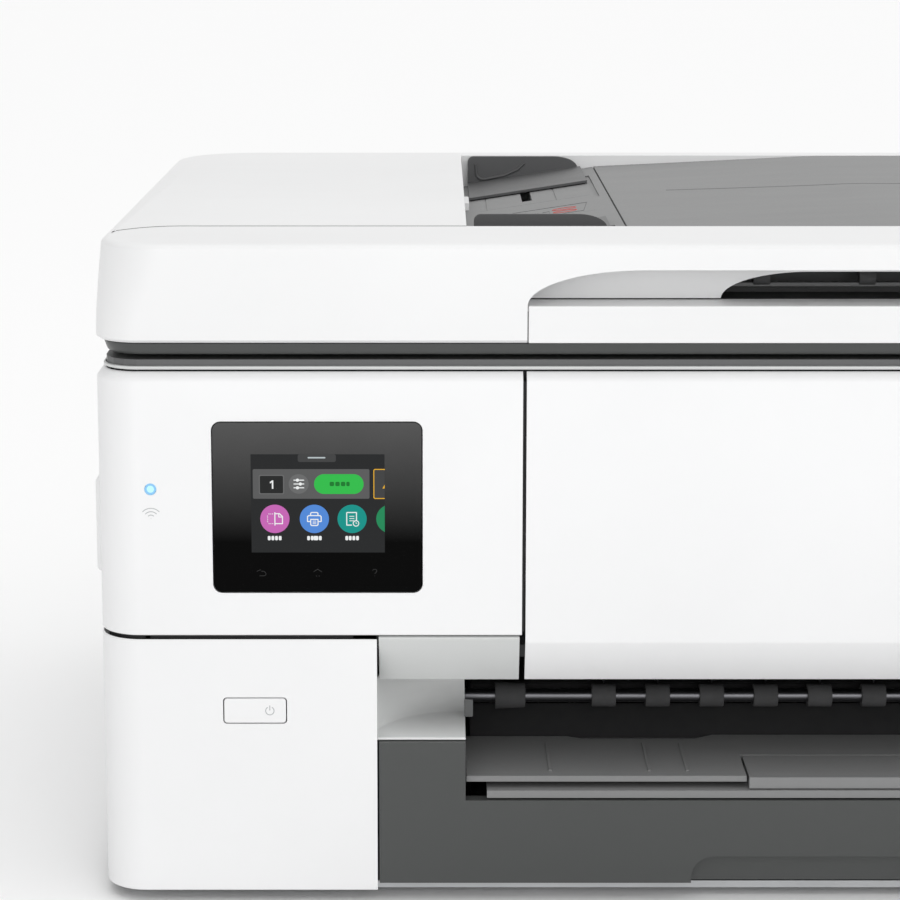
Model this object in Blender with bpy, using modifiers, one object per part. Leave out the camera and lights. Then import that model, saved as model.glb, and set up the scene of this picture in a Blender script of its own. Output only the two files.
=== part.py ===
# Wide-format all-in-one inkjet printer with a document feeder in its scanner lid.
# X runs to the right, Y to the back and Z up. The origin lies on the table, under the middle of the printer.
# Sizes below are in millimetres, and MM turns them into Blender's metres.

import math

import bmesh
import bpy
from mathutils import Matrix, Vector

MM = 0.001

# Driving dimensions of the casing
WIDTH = 583.0
DEPTH = 398.0
HEIGHT = 279.0
HALF = WIDTH / 2
FRONT = -DEPTH / 2
BACK = DEPTH / 2
WALL = 2.5
GAP = 0.4
CORNER_FRONT = 18.0
CORNER_BACK = 20.0
CORNER_STEPS = 4
BUMP = 4.4

# Heights of the layers, from the table up
PAN_LOW = 4.0
PAN_HIGH = 7.0
COVER_LOW = 5.0
SEAM_LOW = 114.4
SEAM_HIGH = 116.1
BODY_EDGE = 223.5
BODY_TOP = 226.7
BEZEL_LOW = 227.5
BEZEL_TOP = 231.5
SKIRT_LOW = 233.4
LID_LOW = 238.9
COVER_SPLIT = 270.0
TOP_INSET = 4.0

# Upright seams across the front, and where the front covers end on the sides
PANEL_RIGHT = -115.8
LOWER_RIGHT = -175.9
DOOR_LEFT = -114.3
DOOR_RIGHT = 208.2
RIGHT_COVER_LEFT = 209.6
SIDE_SEAM = FRONT + 33.0

# Output bay and its paper path
BAY_LEFT = -139.0
BAY_RIGHT = 171.0
BAY_DEPTH = 53.0
BAY_TOP = 94.0
LEDGE = 69.8
DECK_TOP = 54.0
DECK_BACK = FRONT + 58.0
EXIT_Y = FRONT + 60.0
EXIT_Z = 71.5
FEED_Y = FRONT + 133.0
FEED_Z = 73.0
PATH_MIDDLE = (BAY_LEFT + BAY_RIGHT) / 2
LIP_DEPTH = 10.0
DOOR_PIVOT_Y = FRONT + 9.0
DOOR_PIVOT_Z = BAY_TOP + 5.0

# Lid and document feeder
LID_BACK = BACK - 13.0
LID_CORNER_BACK = 42.0
RIM_BACK = FRONT + 61.5
TRAY_LEFT = -138.0
TRAY_RIGHT = 250.0
TRAY_BACK = FRONT + 364.8
FLAP_LEFT = -66.5
TRAY_LOW_Z = 262.0
TRAY_HIGH_Z = 273.0
FLAP_FLAT_X = 53.0
SCOOP_LEFT = -114.2
SCOOP_RIGHT = 250.0
SCOOP_ARC = 47.5
SCOOP_LOW = 254.1
SCOOP_HIGH = 268.7
SCOOP_DEPTH = 22.0
HINGE_Y = BACK - 19.0
HINGE_Z = 234.0

# Print carriage at its parking place
CARRIAGE_LEFT = 150.0
CARRIAGE_RIGHT = 260.0
CARRIAGE_FRONT = FRONT + 34.0
CARRIAGE_BACK = FRONT + 131.0
CARRIAGE_LOW = 97.0
ROD_Y = FRONT + 119.0
ROD_Z = 112.0
ROD_R = 5.0


def start():
    for item in list(bpy.data.objects):
        bpy.data.objects.remove(item, do_unlink=True)
    groups = {}
    for name in ("inkjet_printer", "cutters"):
        groups[name] = bpy.data.collections.new(name)
        bpy.context.scene.collection.children.link(groups[name])
    return groups["inkjet_printer"], groups["cutters"]


PARTS, CUTTERS = start()


def finish_material(name, colour, roughness, metallic=0.0, alpha=1.0):
    made = bpy.data.materials.new(name)
    made.use_nodes = True
    shader = made.node_tree.nodes["Principled BSDF"]
    shader.inputs["Base Color"].default_value = (*colour, 1.0)
    shader.inputs["Roughness"].default_value = roughness
    shader.inputs["Metallic"].default_value = metallic
    shader.inputs["Alpha"].default_value = alpha
    return made


WHITE = ("white", (0.88, 0.88, 0.88), 0.45)
LIGHT_GREY = ("light_grey", (0.60, 0.62, 0.61), 0.45)
MID_GREY = ("mid_grey", (0.30, 0.30, 0.30), 0.50)
DARK_GREY = ("dark_grey", (0.10, 0.10, 0.10), 0.50)
BLACK = ("black", (0.015, 0.015, 0.015), 0.35)
RUBBER = ("rubber", (0.04, 0.04, 0.04), 0.85)
STEEL = ("steel", (0.60, 0.60, 0.62), 0.30, 1.0)
BOARD = ("board", (0.02, 0.18, 0.08), 0.50)
GLASS = ("clear_glass", (0.80, 0.88, 0.86), 0.05, 0.0, 0.35)


def add_node(name, mesh, finish, group=None):
    # Every piece has a material of its own, named for the piece and its finish
    made = bpy.data.objects.new(name, mesh)
    (group or PARTS).objects.link(made)
    if group is None:
        mesh.materials.append(finish_material(name + "_" + finish[0], *finish[1:]))
    return made


def mesh_from(name, form, place=None):
    bmesh.ops.scale(form, vec=(MM, MM, MM), verts=form.verts)
    mesh = bpy.data.meshes.new(name)
    form.to_mesh(mesh)
    form.free()
    if place is not None:
        mesh.transform(place)
    return mesh


def block(name, low, high, finish=None, bevel=0.0):
    form = bmesh.new()
    bmesh.ops.create_cube(form, size=1.0)
    size = [b - a for a, b in zip(low, high)]
    middle = [(a + b) / 2 for a, b in zip(low, high)]
    bmesh.ops.scale(form, vec=size, verts=form.verts)
    bmesh.ops.translate(form, vec=middle, verts=form.verts)
    made = add_node(name, mesh_from(name, form), finish, None if finish else CUTTERS)
    if bevel:
        add_bevel(made, bevel)
    return made


def add_bevel(made, width, segments=1):
    edge = made.modifiers.new("edge", "BEVEL")
    edge.width = width * MM
    edge.segments = segments
    edge.limit_method = "ANGLE"
    edge.angle_limit = math.radians(40)


def cylinder(name, centre, radius, length, axis, finish=None, sides=16):
    form = bmesh.new()
    bmesh.ops.create_cone(form, cap_ends=True, segments=sides, radius1=radius, radius2=radius, depth=length)
    turn = {"X": Matrix.Rotation(math.pi / 2, 4, "Y"), "Y": Matrix.Rotation(-math.pi / 2, 4, "X"),
            "Z": Matrix.Identity(4)}[axis]
    bmesh.ops.transform(form, matrix=Matrix.Translation(Vector(centre)) @ turn, verts=form.verts)
    return add_node(name, mesh_from(name, form), finish, None if finish else CUTTERS)


def outline_solid(name, points, axis, low, high, finish=None):
    # A flat outline filled and extruded along one axis. Its points are (x, y), (x, z) or (y, z).
    flat = bpy.data.curves.new(name + "_outline", "CURVE")
    flat.dimensions = "2D"
    flat.fill_mode = "BOTH"
    flat.extrude = (high - low) / 2 * MM
    spline = flat.splines.new("POLY")
    spline.points.add(len(points) - 1)
    for point, (u, v) in zip(spline.points, points):
        point.co = (u * MM, v * MM, 0, 1)
    spline.use_cyclic_u = True
    drawn = bpy.data.objects.new(name + "_outline", flat)
    CUTTERS.objects.link(drawn)
    evaluated = drawn.evaluated_get(bpy.context.evaluated_depsgraph_get())
    mesh = bpy.data.meshes.new_from_object(evaluated)
    bpy.data.objects.remove(drawn, do_unlink=True)
    mesh.name = name
    weld(mesh)
    turn = {"X": Matrix(((0, 0, 1), (1, 0, 0), (0, 1, 0))), "Y": Matrix(((1, 0, 0), (0, 0, -1), (0, 1, 0))),
            "Z": Matrix.Identity(3)}[axis]
    along = {"X": Vector((1, 0, 0)), "Y": Vector((0, 1, 0)), "Z": Vector((0, 0, 1))}[axis]
    mesh.transform(Matrix.Translation(along * (low + high) / 2 * MM) @ turn.to_4x4())
    return add_node(name, mesh, finish, None if finish else CUTTERS)


def weld(mesh):
    form = bmesh.new()
    form.from_mesh(mesh)
    bmesh.ops.remove_doubles(form, verts=form.verts, dist=1e-6)
    bmesh.ops.recalc_face_normals(form, faces=form.faces)
    form.to_mesh(mesh)
    form.free()


def wall_shell(name, rings, finish, closed=False, capped=False, thickness=WALL):
    # A thin wall: rings of points joined into an open surface, thickened towards its inside
    form = bmesh.new()
    rows = [[form.verts.new(point) for point in ring] for ring in rings]
    count = len(rows[0])
    for lower, upper in zip(rows, rows[1:]):
        for i in range(count if closed else count - 1):
            j = (i + 1) % count
            form.faces.new((lower[i], lower[j], upper[j], upper[i]))
    if capped:
        form.faces.new(rows[-1])
    made = add_node(name, mesh_from(name, form), finish)
    skin = made.modifiers.new("thickness", "SOLIDIFY")
    skin.thickness = thickness * MM
    skin.offset = -1.0
    skin.use_even_offset = True
    return made


def turned(name, start_point, axis, profile, finish, steps=16):
    # A turned piece: (radius, distance) pairs, with the distance measured along the axis from its start
    form = bmesh.new()
    points = [form.verts.new((radius, 0, along)) for radius, along in reversed(profile)]
    for one, two in zip(points, points[1:]):
        form.edges.new((one, two))
    made = add_node(name, mesh_from(name, form), finish)
    spin = made.modifiers.new("turning", "SCREW")
    spin.steps = steps
    spin.render_steps = steps
    spin.use_merge_vertices = True
    spin.merge_threshold = 0.00001
    made.rotation_euler = {"X": (0, math.pi / 2, 0), "Y": (-math.pi / 2, 0, 0), "Z": (0, 0, 0)}[axis]
    made.location = Vector(start_point) * MM
    return made


def hide_tool(tool):
    if tool.name in PARTS.objects:
        PARTS.objects.unlink(tool)
        CUTTERS.objects.link(tool)
    tool.hide_render = True
    tool.display_type = "WIRE"


def combine(target, operation, tools):
    for tool in tools:
        step = target.modifiers.new(operation.lower() + "_" + tool.name, "BOOLEAN")
        step.operation = operation
        step.solver = "EXACT"
        step.object = tool
        hide_tool(tool)


def cut(target, *tools):
    combine(target, "DIFFERENCE", tools)


def unite(target, *tools):
    combine(target, "UNION", tools)


def set_pivot(made, x, y, z):
    # Moves the origin onto the joint's axis and leaves the shape where it is
    pivot = Vector((x, y, z)) * MM
    made.data.transform(Matrix.Translation(-pivot))
    made.location = pivot


def arc(cx, cy, rx, ry, start, end, steps):
    # Points on an ellipse's quarter or any other stretch, angles in degrees
    found = []
    for i in range(steps + 1):
        angle = math.radians(start + (end - start) * i / steps)
        found.append((cx + rx * math.cos(angle), cy + ry * math.sin(angle)))
    return found


def rounded_plan(left, front, right, back, r_front, r_back, steps=CORNER_STEPS):
    # Closed plan outline, anticlockwise from the front right corner
    return (arc(right - r_front, front + r_front, r_front, r_front, -90, 0, steps)
            + arc(right - r_back, back - r_back, r_back, r_back, 0, 90, steps)
            + arc(left + r_back, back - r_back, r_back, r_back, 90, 180, steps)
            + arc(left + r_front, front + r_front, r_front, r_front, 180, 270, steps))


def rounded_rectangle(low_u, low_v, high_u, high_v, radius, steps=3):
    return rounded_plan(low_u, low_v, high_u, high_v, radius, radius, steps)


def front_corner_path(inner_x, side, inset):
    # Plan path of a cover that wraps a front corner: from inner_x on the front, round to the side seam
    radius = CORNER_FRONT - inset
    edge = HALF - inset
    centre_y = FRONT + CORNER_FRONT
    path = [(inner_x, FRONT + inset)]
    corner = arc(edge - radius, centre_y, radius, radius, -90, 0, CORNER_STEPS)
    path += [(side * x, y) for x, y in corner]
    path.append((side * edge, SIDE_SEAM - GAP))
    return path


def side_path(side, inset):
    # Plan path of a side cover, round its back corner
    radius = CORNER_BACK - inset
    edge = HALF - inset
    path = [(side * edge, SIDE_SEAM)]
    corner = arc(edge - radius, BACK - CORNER_BACK, radius, radius, 0, 90, CORNER_STEPS)
    path += [(side * x, y) for x, y in corner]
    return path


def cover(name, path_at, side, levels):
    # Levels are (height, inset) pairs. On the left the path is turned round, so the wall thickens inwards.
    rings = []
    for height, inset in levels:
        path = path_at(inset)
        if side < 0:
            path = path[::-1]
        rings.append([(x, y, height) for x, y in path])
    return wall_shell(name, rings, WHITE)


def make_chassis():
    pan = block("chassis", (-281, FRONT + 6, PAN_LOW), (281, BACK - 5, PAN_HIGH), STEEL)
    uprights = [block("upright_" + str(x), (x, FRONT + 64, PAN_LOW + 1), (x + 1.6, BACK - 34, 196))
                for x in (-170, 277)]
    unite(pan, *uprights)


def make_feet():
    for depth_name, y in (("front", FRONT + 30), ("back", BACK - 30)):
        for side_name, x in (("left", -HALF + 40), ("right", HALF - 40)):
            name = "foot_" + depth_name + "_" + side_name
            foot_high = PAN_LOW - 0.3
            cylinder(name, (x, y, foot_high / 2), 9, foot_high, "Z", RUBBER, 12)


def make_control_panel():
    panel = cover("control_panel_cover", lambda inset: front_corner_path(PANEL_RIGHT, -1, inset), -1,
                  ((SEAM_HIGH, 0), (BODY_EDGE, 0), (BODY_TOP, TOP_INSET)))
    glass_left, glass_right, glass_low, glass_high = -242.9, -157.2, 134.7, 206.1
    opening = rounded_rectangle(glass_left - GAP, glass_low - GAP, glass_right + GAP, glass_high + GAP, 3.5)
    hole = outline_solid("display_hole", opening, "Y", FRONT - 5, FRONT + 10)
    light_x, light_z = -268.5, 178.1
    light_hole = cylinder("light_hole", (light_x, FRONT, light_z), 2.5, 12, "Y")
    cut(panel, hole, light_hole)
    pane = rounded_rectangle(glass_left, glass_low, glass_right, glass_high, 3.5)
    outline_solid("display_glass", pane, "Y", FRONT - 0.3, FRONT + 1.7, BLACK)
    block("display_module", (-236, FRONT + 2.1, 141), (-164, FRONT + 7.6, 201), DARK_GREY, 0.8)
    cylinder("status_light", (light_x, FRONT + 4, light_z), 2.1, 8, "Y", LIGHT_GREY, 12)


def make_lower_covers():
    left = cover("lower_left_cover", lambda inset: front_corner_path(LOWER_RIGHT, -1, inset), -1,
                 ((COVER_LOW, 0), (SEAM_LOW, 0)))
    key_left, key_right, key_low, key_high = -239.9, -213.4, 78.1, 89.4
    hole = rounded_rectangle(key_left, key_low, key_right, key_high, 1.6)
    cut(left, outline_solid("button_hole", hole, "Y", FRONT - 5, FRONT + 10))
    key = rounded_rectangle(key_left + GAP, key_low + GAP, key_right - GAP, key_high - GAP, 1.3)
    button = outline_solid("power_button", key, "Y", FRONT - 0.2, FRONT + 6, WHITE)
    set_pivot(button, (key_left + key_right) / 2, FRONT, (key_low + key_high) / 2)
    cover("right_front_cover", lambda inset: front_corner_path(RIGHT_COVER_LEFT, 1, inset), 1,
          ((COVER_LOW, 0), (BODY_EDGE, 0), (BODY_TOP, TOP_INSET)))


def make_side_covers():
    for name, side in (("left_side_cover", -1), ("right_side_cover", 1)):
        made = cover(name, lambda inset, side=side: side_path(side, inset), side,
                     ((PAN_HIGH + 1, 0), (BODY_EDGE, 0), (BODY_TOP, TOP_INSET)))
        outer = side * (HALF + BUMP)
        inner = side * (HALF - 1)
        bump_low, bump_high, bump_back = 134.1, 175.1, FRONT + 130
        taper = 3.0
        plan = [(inner, SIDE_SEAM + 1), (outer, SIDE_SEAM + 2), (outer, bump_back - 8), (inner, bump_back)]
        bump = outline_solid("bump_" + name, plan[::side], "Z", bump_low, bump_high)
        add_bevel(bump, taper / 2)
        unite(made, bump)


def make_rear():
    reach = HALF - CORNER_BACK - 3 * GAP
    cover_back = block("rear_cover", (-reach, BACK - WALL, PAN_HIGH + 1), (reach, BACK, BODY_TOP), WHITE)
    door_low, door_high = 60.0, 170.0
    door_hole = block("rear_door_hole", (-149, BACK - 9, door_low), (181, BACK + 5, door_high))
    inlet_hole = block("inlet_hole", (-262, BACK - 9, 25), (-232, BACK + 5, 47))
    usb_hole = block("usb_hole", (-200, BACK - 9, 28), (-187, BACK + 5, 40))
    network_hole = block("network_hole", (-175, BACK - 9, 28), (-158, BACK + 5, 42))
    cut(cover_back, door_hole, inlet_hole, usb_hole, network_hole)
    door = block("rear_access_door", (-148.5, BACK - WALL, door_low + 0.5),
                 (180.5, BACK, door_high - 0.5), WHITE)
    set_pivot(door, PATH_MIDDLE, BACK, door_low + 0.5)


def make_power_inlet():
    shell = block("power_inlet", (-261.5, BACK - 22, 25.5), (-232.5, BACK - 0.5, 46.5), BLACK)
    well = rounded_rectangle(-257, 30, -237, 42, 3)
    cut(shell, outline_solid("inlet_well", well, "Y", BACK - 16, BACK + 5))
    pins = [cylinder("inlet_pin_" + str(i), (x, BACK - 12.5, 36), 1.2, 11, "Y", None, 8)
            for i, x in enumerate((-251, -243))]
    unite(shell, *pins)


def make_electronics():
    block("power_supply", (-283, FRONT + 130, 10), (-186, BACK - 60, 66), DARK_GREY, 1.5)
    block("main_board", (-284.6, FRONT + 120, 82), (-283, BACK - 40, 188), BOARD)
    motor_profile = [(0, 0), (14, 0), (14, 30), (3, 30), (3, 42), (7, 42), (7, 50), (0, 50)]
    turned("carriage_motor", (-205, FRONT + 122, 100), "Z", motor_profile, STEEL)


def make_bay():
    lip = ((FRONT + LIP_DEPTH, BAY_TOP), (FRONT, SEAM_LOW))
    rings = [[(-175.1, y, z), (-116.7, y, z)] for y, z in lip]
    wall_shell("bay_trim", rings, LIGHT_GREY)
    wall_start = WALL + GAP
    bays = (("bay_left_wall", -1, LOWER_RIGHT + 0.8, BAY_LEFT), ("bay_right_wall", 1, DOOR_RIGHT, BAY_RIGHT))
    for name, side, outer_x, inner_x in bays:
        sweep = arc(inner_x, FRONT + wall_start, abs(outer_x - inner_x), BAY_DEPTH - wall_start, 180, 90, 6)
        path = [(inner_x + abs(x - inner_x) * side, y) for x, y in sweep]
        if side > 0:
            path = path[::-1]
        rings = [[(x, y, z) for x, y in path] for z in (LEDGE + 0.5, BAY_TOP - 1.2)]
        wall_shell(name, rings, LIGHT_GREY)


def make_output_tray():
    stop_left, stop_right, stop_back = -20.0, 52.0, FRONT + 30
    deck_low = DECK_TOP - 2.5
    notch_back = 5.0
    plan = [(BAY_LEFT + GAP, FRONT + 4), (stop_left - 1, FRONT + 4), (stop_left - 1, stop_back + 1),
            (stop_right + 1, stop_back + 1), (stop_right + 1, FRONT + 4), (BAY_RIGHT - GAP, FRONT + 4),
            (BAY_RIGHT - GAP, DECK_BACK), (-30, DECK_BACK), (-38, DECK_BACK - notch_back),
            (-88, DECK_BACK - notch_back), (-94, DECK_BACK - 2), (BAY_LEFT + GAP, DECK_BACK - 2)]
    outline_solid("output_deck", plan, "Z", deck_low, DECK_TOP, DARK_GREY)
    slide = block("output_extension", (-130, FRONT + 1, 45.4), (162, FRONT + 149, 48.6), DARK_GREY)
    set_pivot(slide, PATH_MIDDLE, FRONT + 1, 47)
    flap = block("paper_stop", (stop_left, FRONT + 2, 49.2), (stop_right, stop_back, DECK_TOP), DARK_GREY)
    set_pivot(flap, PATH_MIDDLE, FRONT + 2, 49.2)


def make_cassette():
    front_low, front_mid, guide_low = 8.3, 44.6, 11.2
    tub = block("cassette", (-165, FRONT + 5, front_low), (197, BACK - 31, 42), MID_GREY)
    shape = [(LOWER_RIGHT + 0.8, front_low), (DOOR_RIGHT, front_low), (DOOR_RIGHT, LEDGE), (BAY_RIGHT, LEDGE),
             (BAY_RIGHT, front_mid), (BAY_LEFT, front_mid), (BAY_LEFT, LEDGE), (LOWER_RIGHT + 0.8, LEDGE)]
    face = outline_solid("cassette_face", shape, "Y", FRONT, FRONT + 6)
    unite(tub, face)
    cut(tub, block("cassette_inside", (-162.5, FRONT + 8, guide_low - 0.4), (194.5, BACK - 33.5, 60)),
        outline_solid("finger_scoop", rounded_plan(-44, 0, 76, 20, 2, 9), "Y", FRONT - 5, FRONT + 4))
    set_pivot(tub, PATH_MIDDLE, FRONT, front_low)
    for name, side in (("width_guide_left", -1), ("width_guide_right", 1)):
        wall_x = PATH_MIDDLE + side * 152
        foot_x = PATH_MIDDLE + side * 110
        wall_span = sorted((wall_x, wall_x + side * 2.5))
        foot_span = sorted((wall_x, foot_x))
        guide = block(name, (wall_span[0], FRONT + 60, guide_low), (wall_span[1], FRONT + 210, 38), DARK_GREY)
        foot = block("foot_" + name, (foot_span[0] - 0.5, FRONT + 120, guide_low),
                     (foot_span[1] + 0.5, FRONT + 150, guide_low + 1.8))
        unite(guide, foot)
        set_pivot(guide, wall_x, FRONT + 135, guide_low)
    stop = block("length_guide", (PATH_MIDDLE - 25, BACK - 42, guide_low),
                 (PATH_MIDDLE + 25, BACK - 39, 36), DARK_GREY)
    set_pivot(stop, PATH_MIDDLE, BACK - 42, guide_low)


def roller_profile(length, shaft_r, rollers):
    # Shaft with rollers on it. Each roller is (middle, width, radius), in order along the shaft.
    points = [(0, 0), (shaft_r, 0)]
    for middle, width, radius in rollers:
        low, high = middle - width / 2, middle + width / 2
        points += [(shaft_r, low), (radius, low), (radius, high), (shaft_r, high)]
    return points + [(shaft_r, length), (0, length)]


def make_rollers():
    start_x = BAY_LEFT - 29
    length = BAY_RIGHT - BAY_LEFT + 34
    first = -118.9
    pitch = 23.7
    rollers = [(first - start_x, 13.2, 6.0)]
    rollers += [(-77.9 + pitch * i - start_x, 10.5, 5.0) for i in range(11)]
    turned("exit_roller", (start_x, EXIT_Y, EXIT_Z), "X", roller_profile(length, 3.0, rollers), DARK_GREY, 10)
    grip = [(length / 2, BAY_RIGHT - BAY_LEFT, 8.0)]
    turned("feed_roller", (start_x, FEED_Y, FEED_Z), "X", roller_profile(length, 4.0, grip), DARK_GREY)
    block("print_platen", (BAY_LEFT + 2, FRONT + 71, 66), (BAY_RIGHT - 2, FRONT + 119, 74), DARK_GREY, 1)


def make_carriage():
    cylinder("carriage_rod", (54, ROD_Y, ROD_Z), ROD_R, 443, "X", STEEL)
    holder = block("carriage", (CARRIAGE_LEFT, CARRIAGE_FRONT, CARRIAGE_LOW),
                   (CARRIAGE_RIGHT, CARRIAGE_BACK, 150), DARK_GREY)
    pocket = block("cartridge_pocket", (CARRIAGE_LEFT + 3, CARRIAGE_FRONT - 5, CARRIAGE_LOW + 5),
                   (CARRIAGE_RIGHT - 3, CARRIAGE_FRONT + 72, 170))
    nose = block("print_head", (CARRIAGE_LEFT + 20, FRONT + 74, 78),
                 (CARRIAGE_RIGHT - 20, FRONT + 114, CARRIAGE_LOW + 2))
    unite(holder, nose)
    cut(holder, pocket, cylinder("rod_hole", (205, ROD_Y, ROD_Z), ROD_R + 0.5, 140, "X"))
    set_pivot(holder, (CARRIAGE_LEFT + CARRIAGE_RIGHT) / 2, ROD_Y, ROD_Z)
    pitch = 26.0
    inks = (("yellow", (0.90, 0.70, 0.05)), ("magenta", (0.65, 0.03, 0.25)),
            ("cyan", (0.02, 0.35, 0.65)), ("black", (0.02, 0.02, 0.02)))
    for i, (ink, colour) in enumerate(inks):
        left = CARRIAGE_LEFT + 3.8 + pitch * i
        low = (left, CARRIAGE_FRONT + 1, CARRIAGE_LOW + 5.4)
        high = (left + 24.4, CARRIAGE_FRONT + 71, 168)
        tank = block("cartridge_" + ink, low, high, (ink, colour, 0.35), 1.2)
        set_pivot(tank, left + 12.2, CARRIAGE_FRONT + 1, CARRIAGE_LOW + 5.4)
    block("service_station", (181, FRONT + 57, 54), (262, FRONT + 119, 75), DARK_GREY, 1.5)


def make_scanner():
    tub = block("scanner_tub", (-281, FRONT + 11, 198), (281, BACK - 27, BEZEL_LOW - GAP), DARK_GREY)
    cut(tub, block("scanner_inside", (-278, FRONT + 14, 201), (278, BACK - 30, 240)))
    edge = HALF - TOP_INSET
    frame_plan = rounded_plan(-edge, FRONT + TOP_INSET, edge, BACK - TOP_INSET, 14, 16)
    bezel = outline_solid("scanner_bezel", frame_plan, "Z", BEZEL_LOW, BEZEL_TOP, MID_GREY)
    hinge_middles = (-215, 215)
    post_holes = [block("post_hole_" + str(i), (x - 12.5, HINGE_Y - 4, 220), (x + 12.5, HINGE_Y + 4, 240))
                  for i, x in enumerate(hinge_middles)]
    cut(bezel, block("glass_window", (-205, -140, 220), (165, 80, 240)),
        block("strip_window", (-240, -140, 220), (-222, 80, 240)),
        block("back_step", (-300, BACK - 25, BEZEL_TOP - 3.1), (300, BACK + 5, 240)), *post_holes)
    block("scanner_glass", (-250, -150, 223.8), (175, 90, BEZEL_LOW - 0.7), GLASS)
    cylinder("scan_rod", (0, -30, 204.6), 3, 555, "X", STEEL, 12)
    bar = block("scan_bar", (-262, -160, 208), (-238, 100, 222.5), BLACK, 1)
    set_pivot(bar, -250, -30, 208)
    for name, middle in zip(("lid_hinge_left", "lid_hinge_right"), hinge_middles):
        post = block(name, (middle - 12, HINGE_Y - 3.5, 150), (middle + 12, HINGE_Y + 3.5, HINGE_Z), STEEL)
        unite(post, cylinder("barrel_" + name, (middle, HINGE_Y, HINGE_Z), 4, 34, "X", None, 12))


def lid_ring(height, inset, corner):
    plan = rounded_plan(-HALF + inset, FRONT + inset, HALF - inset, LID_BACK - inset,
                        corner, LID_CORNER_BACK - inset)
    return [(x, y, height) for x, y in plan]


def scoop_outline():
    # The hand scoop in the lid's front, with a quarter of an ellipse at each end, as (x, z) points
    rise = SCOOP_HIGH - SCOOP_LOW
    right = arc(SCOOP_RIGHT - SCOOP_ARC, SCOOP_LOW, SCOOP_ARC, rise, 0, 90, 6)
    left = arc(SCOOP_LEFT + SCOOP_ARC, SCOOP_LOW, SCOOP_ARC, rise, 90, 180, 6)
    return right + left


def make_lid_shell():
    levels = ((LID_LOW, 1.5, 17), (240.0, 0, 18), (274.0, 1.0, 26), (277.8, 1.8, 28), (HEIGHT, 4.2, 28))
    lid = wall_shell("lid_shell", [lid_ring(*level) for level in levels], WHITE, closed=True, capped=True)
    frame = block("well_frame", (TRAY_LEFT - WALL, RIM_BACK - WALL, 266),
                  (TRAY_RIGHT + WALL, TRAY_BACK + WALL, HEIGHT - 1))
    unite(lid, frame)
    scoop = outline_solid("scoop_cut", scoop_outline(), "Y", FRONT - 5, FRONT + 5)
    below = block("front_panel_cut", (SCOOP_LEFT, FRONT - 5, 230), (SCOOP_RIGHT, FRONT + 5, SCOOP_LOW + 0.01))
    cut(lid, block("well_cut", (TRAY_LEFT, RIM_BACK, 250), (TRAY_RIGHT, TRAY_BACK, 290)),
        block("feeder_cover_cut", (-300, RIM_BACK, COVER_SPLIT), (TRAY_LEFT + 0.01, BACK, 290)), scoop, below)
    set_pivot(lid, 0, HINGE_Y, HINGE_Z)


def make_lid_pieces():
    panel = block("lid_front_panel", (SCOOP_LEFT + GAP, FRONT + 0.2, LID_LOW),
                  (SCOOP_RIGHT - GAP, FRONT + WALL, SCOOP_LOW), WHITE)
    skirt_plan = rounded_plan(-HALF + TOP_INSET, FRONT + TOP_INSET, HALF - TOP_INSET, BACK - 27, 14, 6)
    skirt = outline_solid("lid_skirt", skirt_plan, "Z", SKIRT_LOW, LID_LOW - 0.5, DARK_GREY)
    cut(skirt, block("pad_pocket", (-246, -146, 230), (181, 96, 236.2)))
    pad = block("platen_pad", (-245.5, -145.5, BEZEL_TOP + 0.5), (180.5, 95.5, 235.8), WHITE, 0.8)
    for made in (panel, skirt, pad):
        set_pivot(made, 0, HINGE_Y, HINGE_Z)


def make_output_chute():
    floor_low = SCOOP_LOW - 3.2
    floor_high = SCOOP_LOW - 0.6
    wall_front, wall_back, wall_top = FRONT + SCOOP_DEPTH, FRONT + SCOOP_DEPTH + 2, 272.0
    section = [(FRONT + 3, floor_low), (wall_back, floor_low), (wall_back, wall_top),
               (wall_front, wall_top), (wall_front, floor_high), (FRONT + 3, floor_high)]
    chute = outline_solid("output_chute", section, "X", SCOOP_LEFT - 2, SCOOP_RIGHT + 2, LIGHT_GREY)
    mouth_left, mouth_right, mouth_arc = -33.7, 168.0, 37.0
    low = SCOOP_LOW - 0.2
    mouth = (arc(mouth_right - mouth_arc, low, mouth_arc, 14.6, 0, 90, 5)
             + arc(mouth_left + mouth_arc, low, mouth_arc, 14.6, 90, 180, 5))
    cut(chute, outline_solid("paper_mouth", mouth, "Y", FRONT + SCOOP_DEPTH - 5, FRONT + SCOOP_DEPTH + 7))
    set_pivot(chute, 0, HINGE_Y, HINGE_Z)


def tray_surface(x):
    # Height of the feeder's sloping input tray
    slope = (TRAY_HIGH_Z - TRAY_LOW_Z) / (FLAP_LEFT - TRAY_LEFT)
    return TRAY_LOW_Z + slope * (x - TRAY_LEFT)


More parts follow.
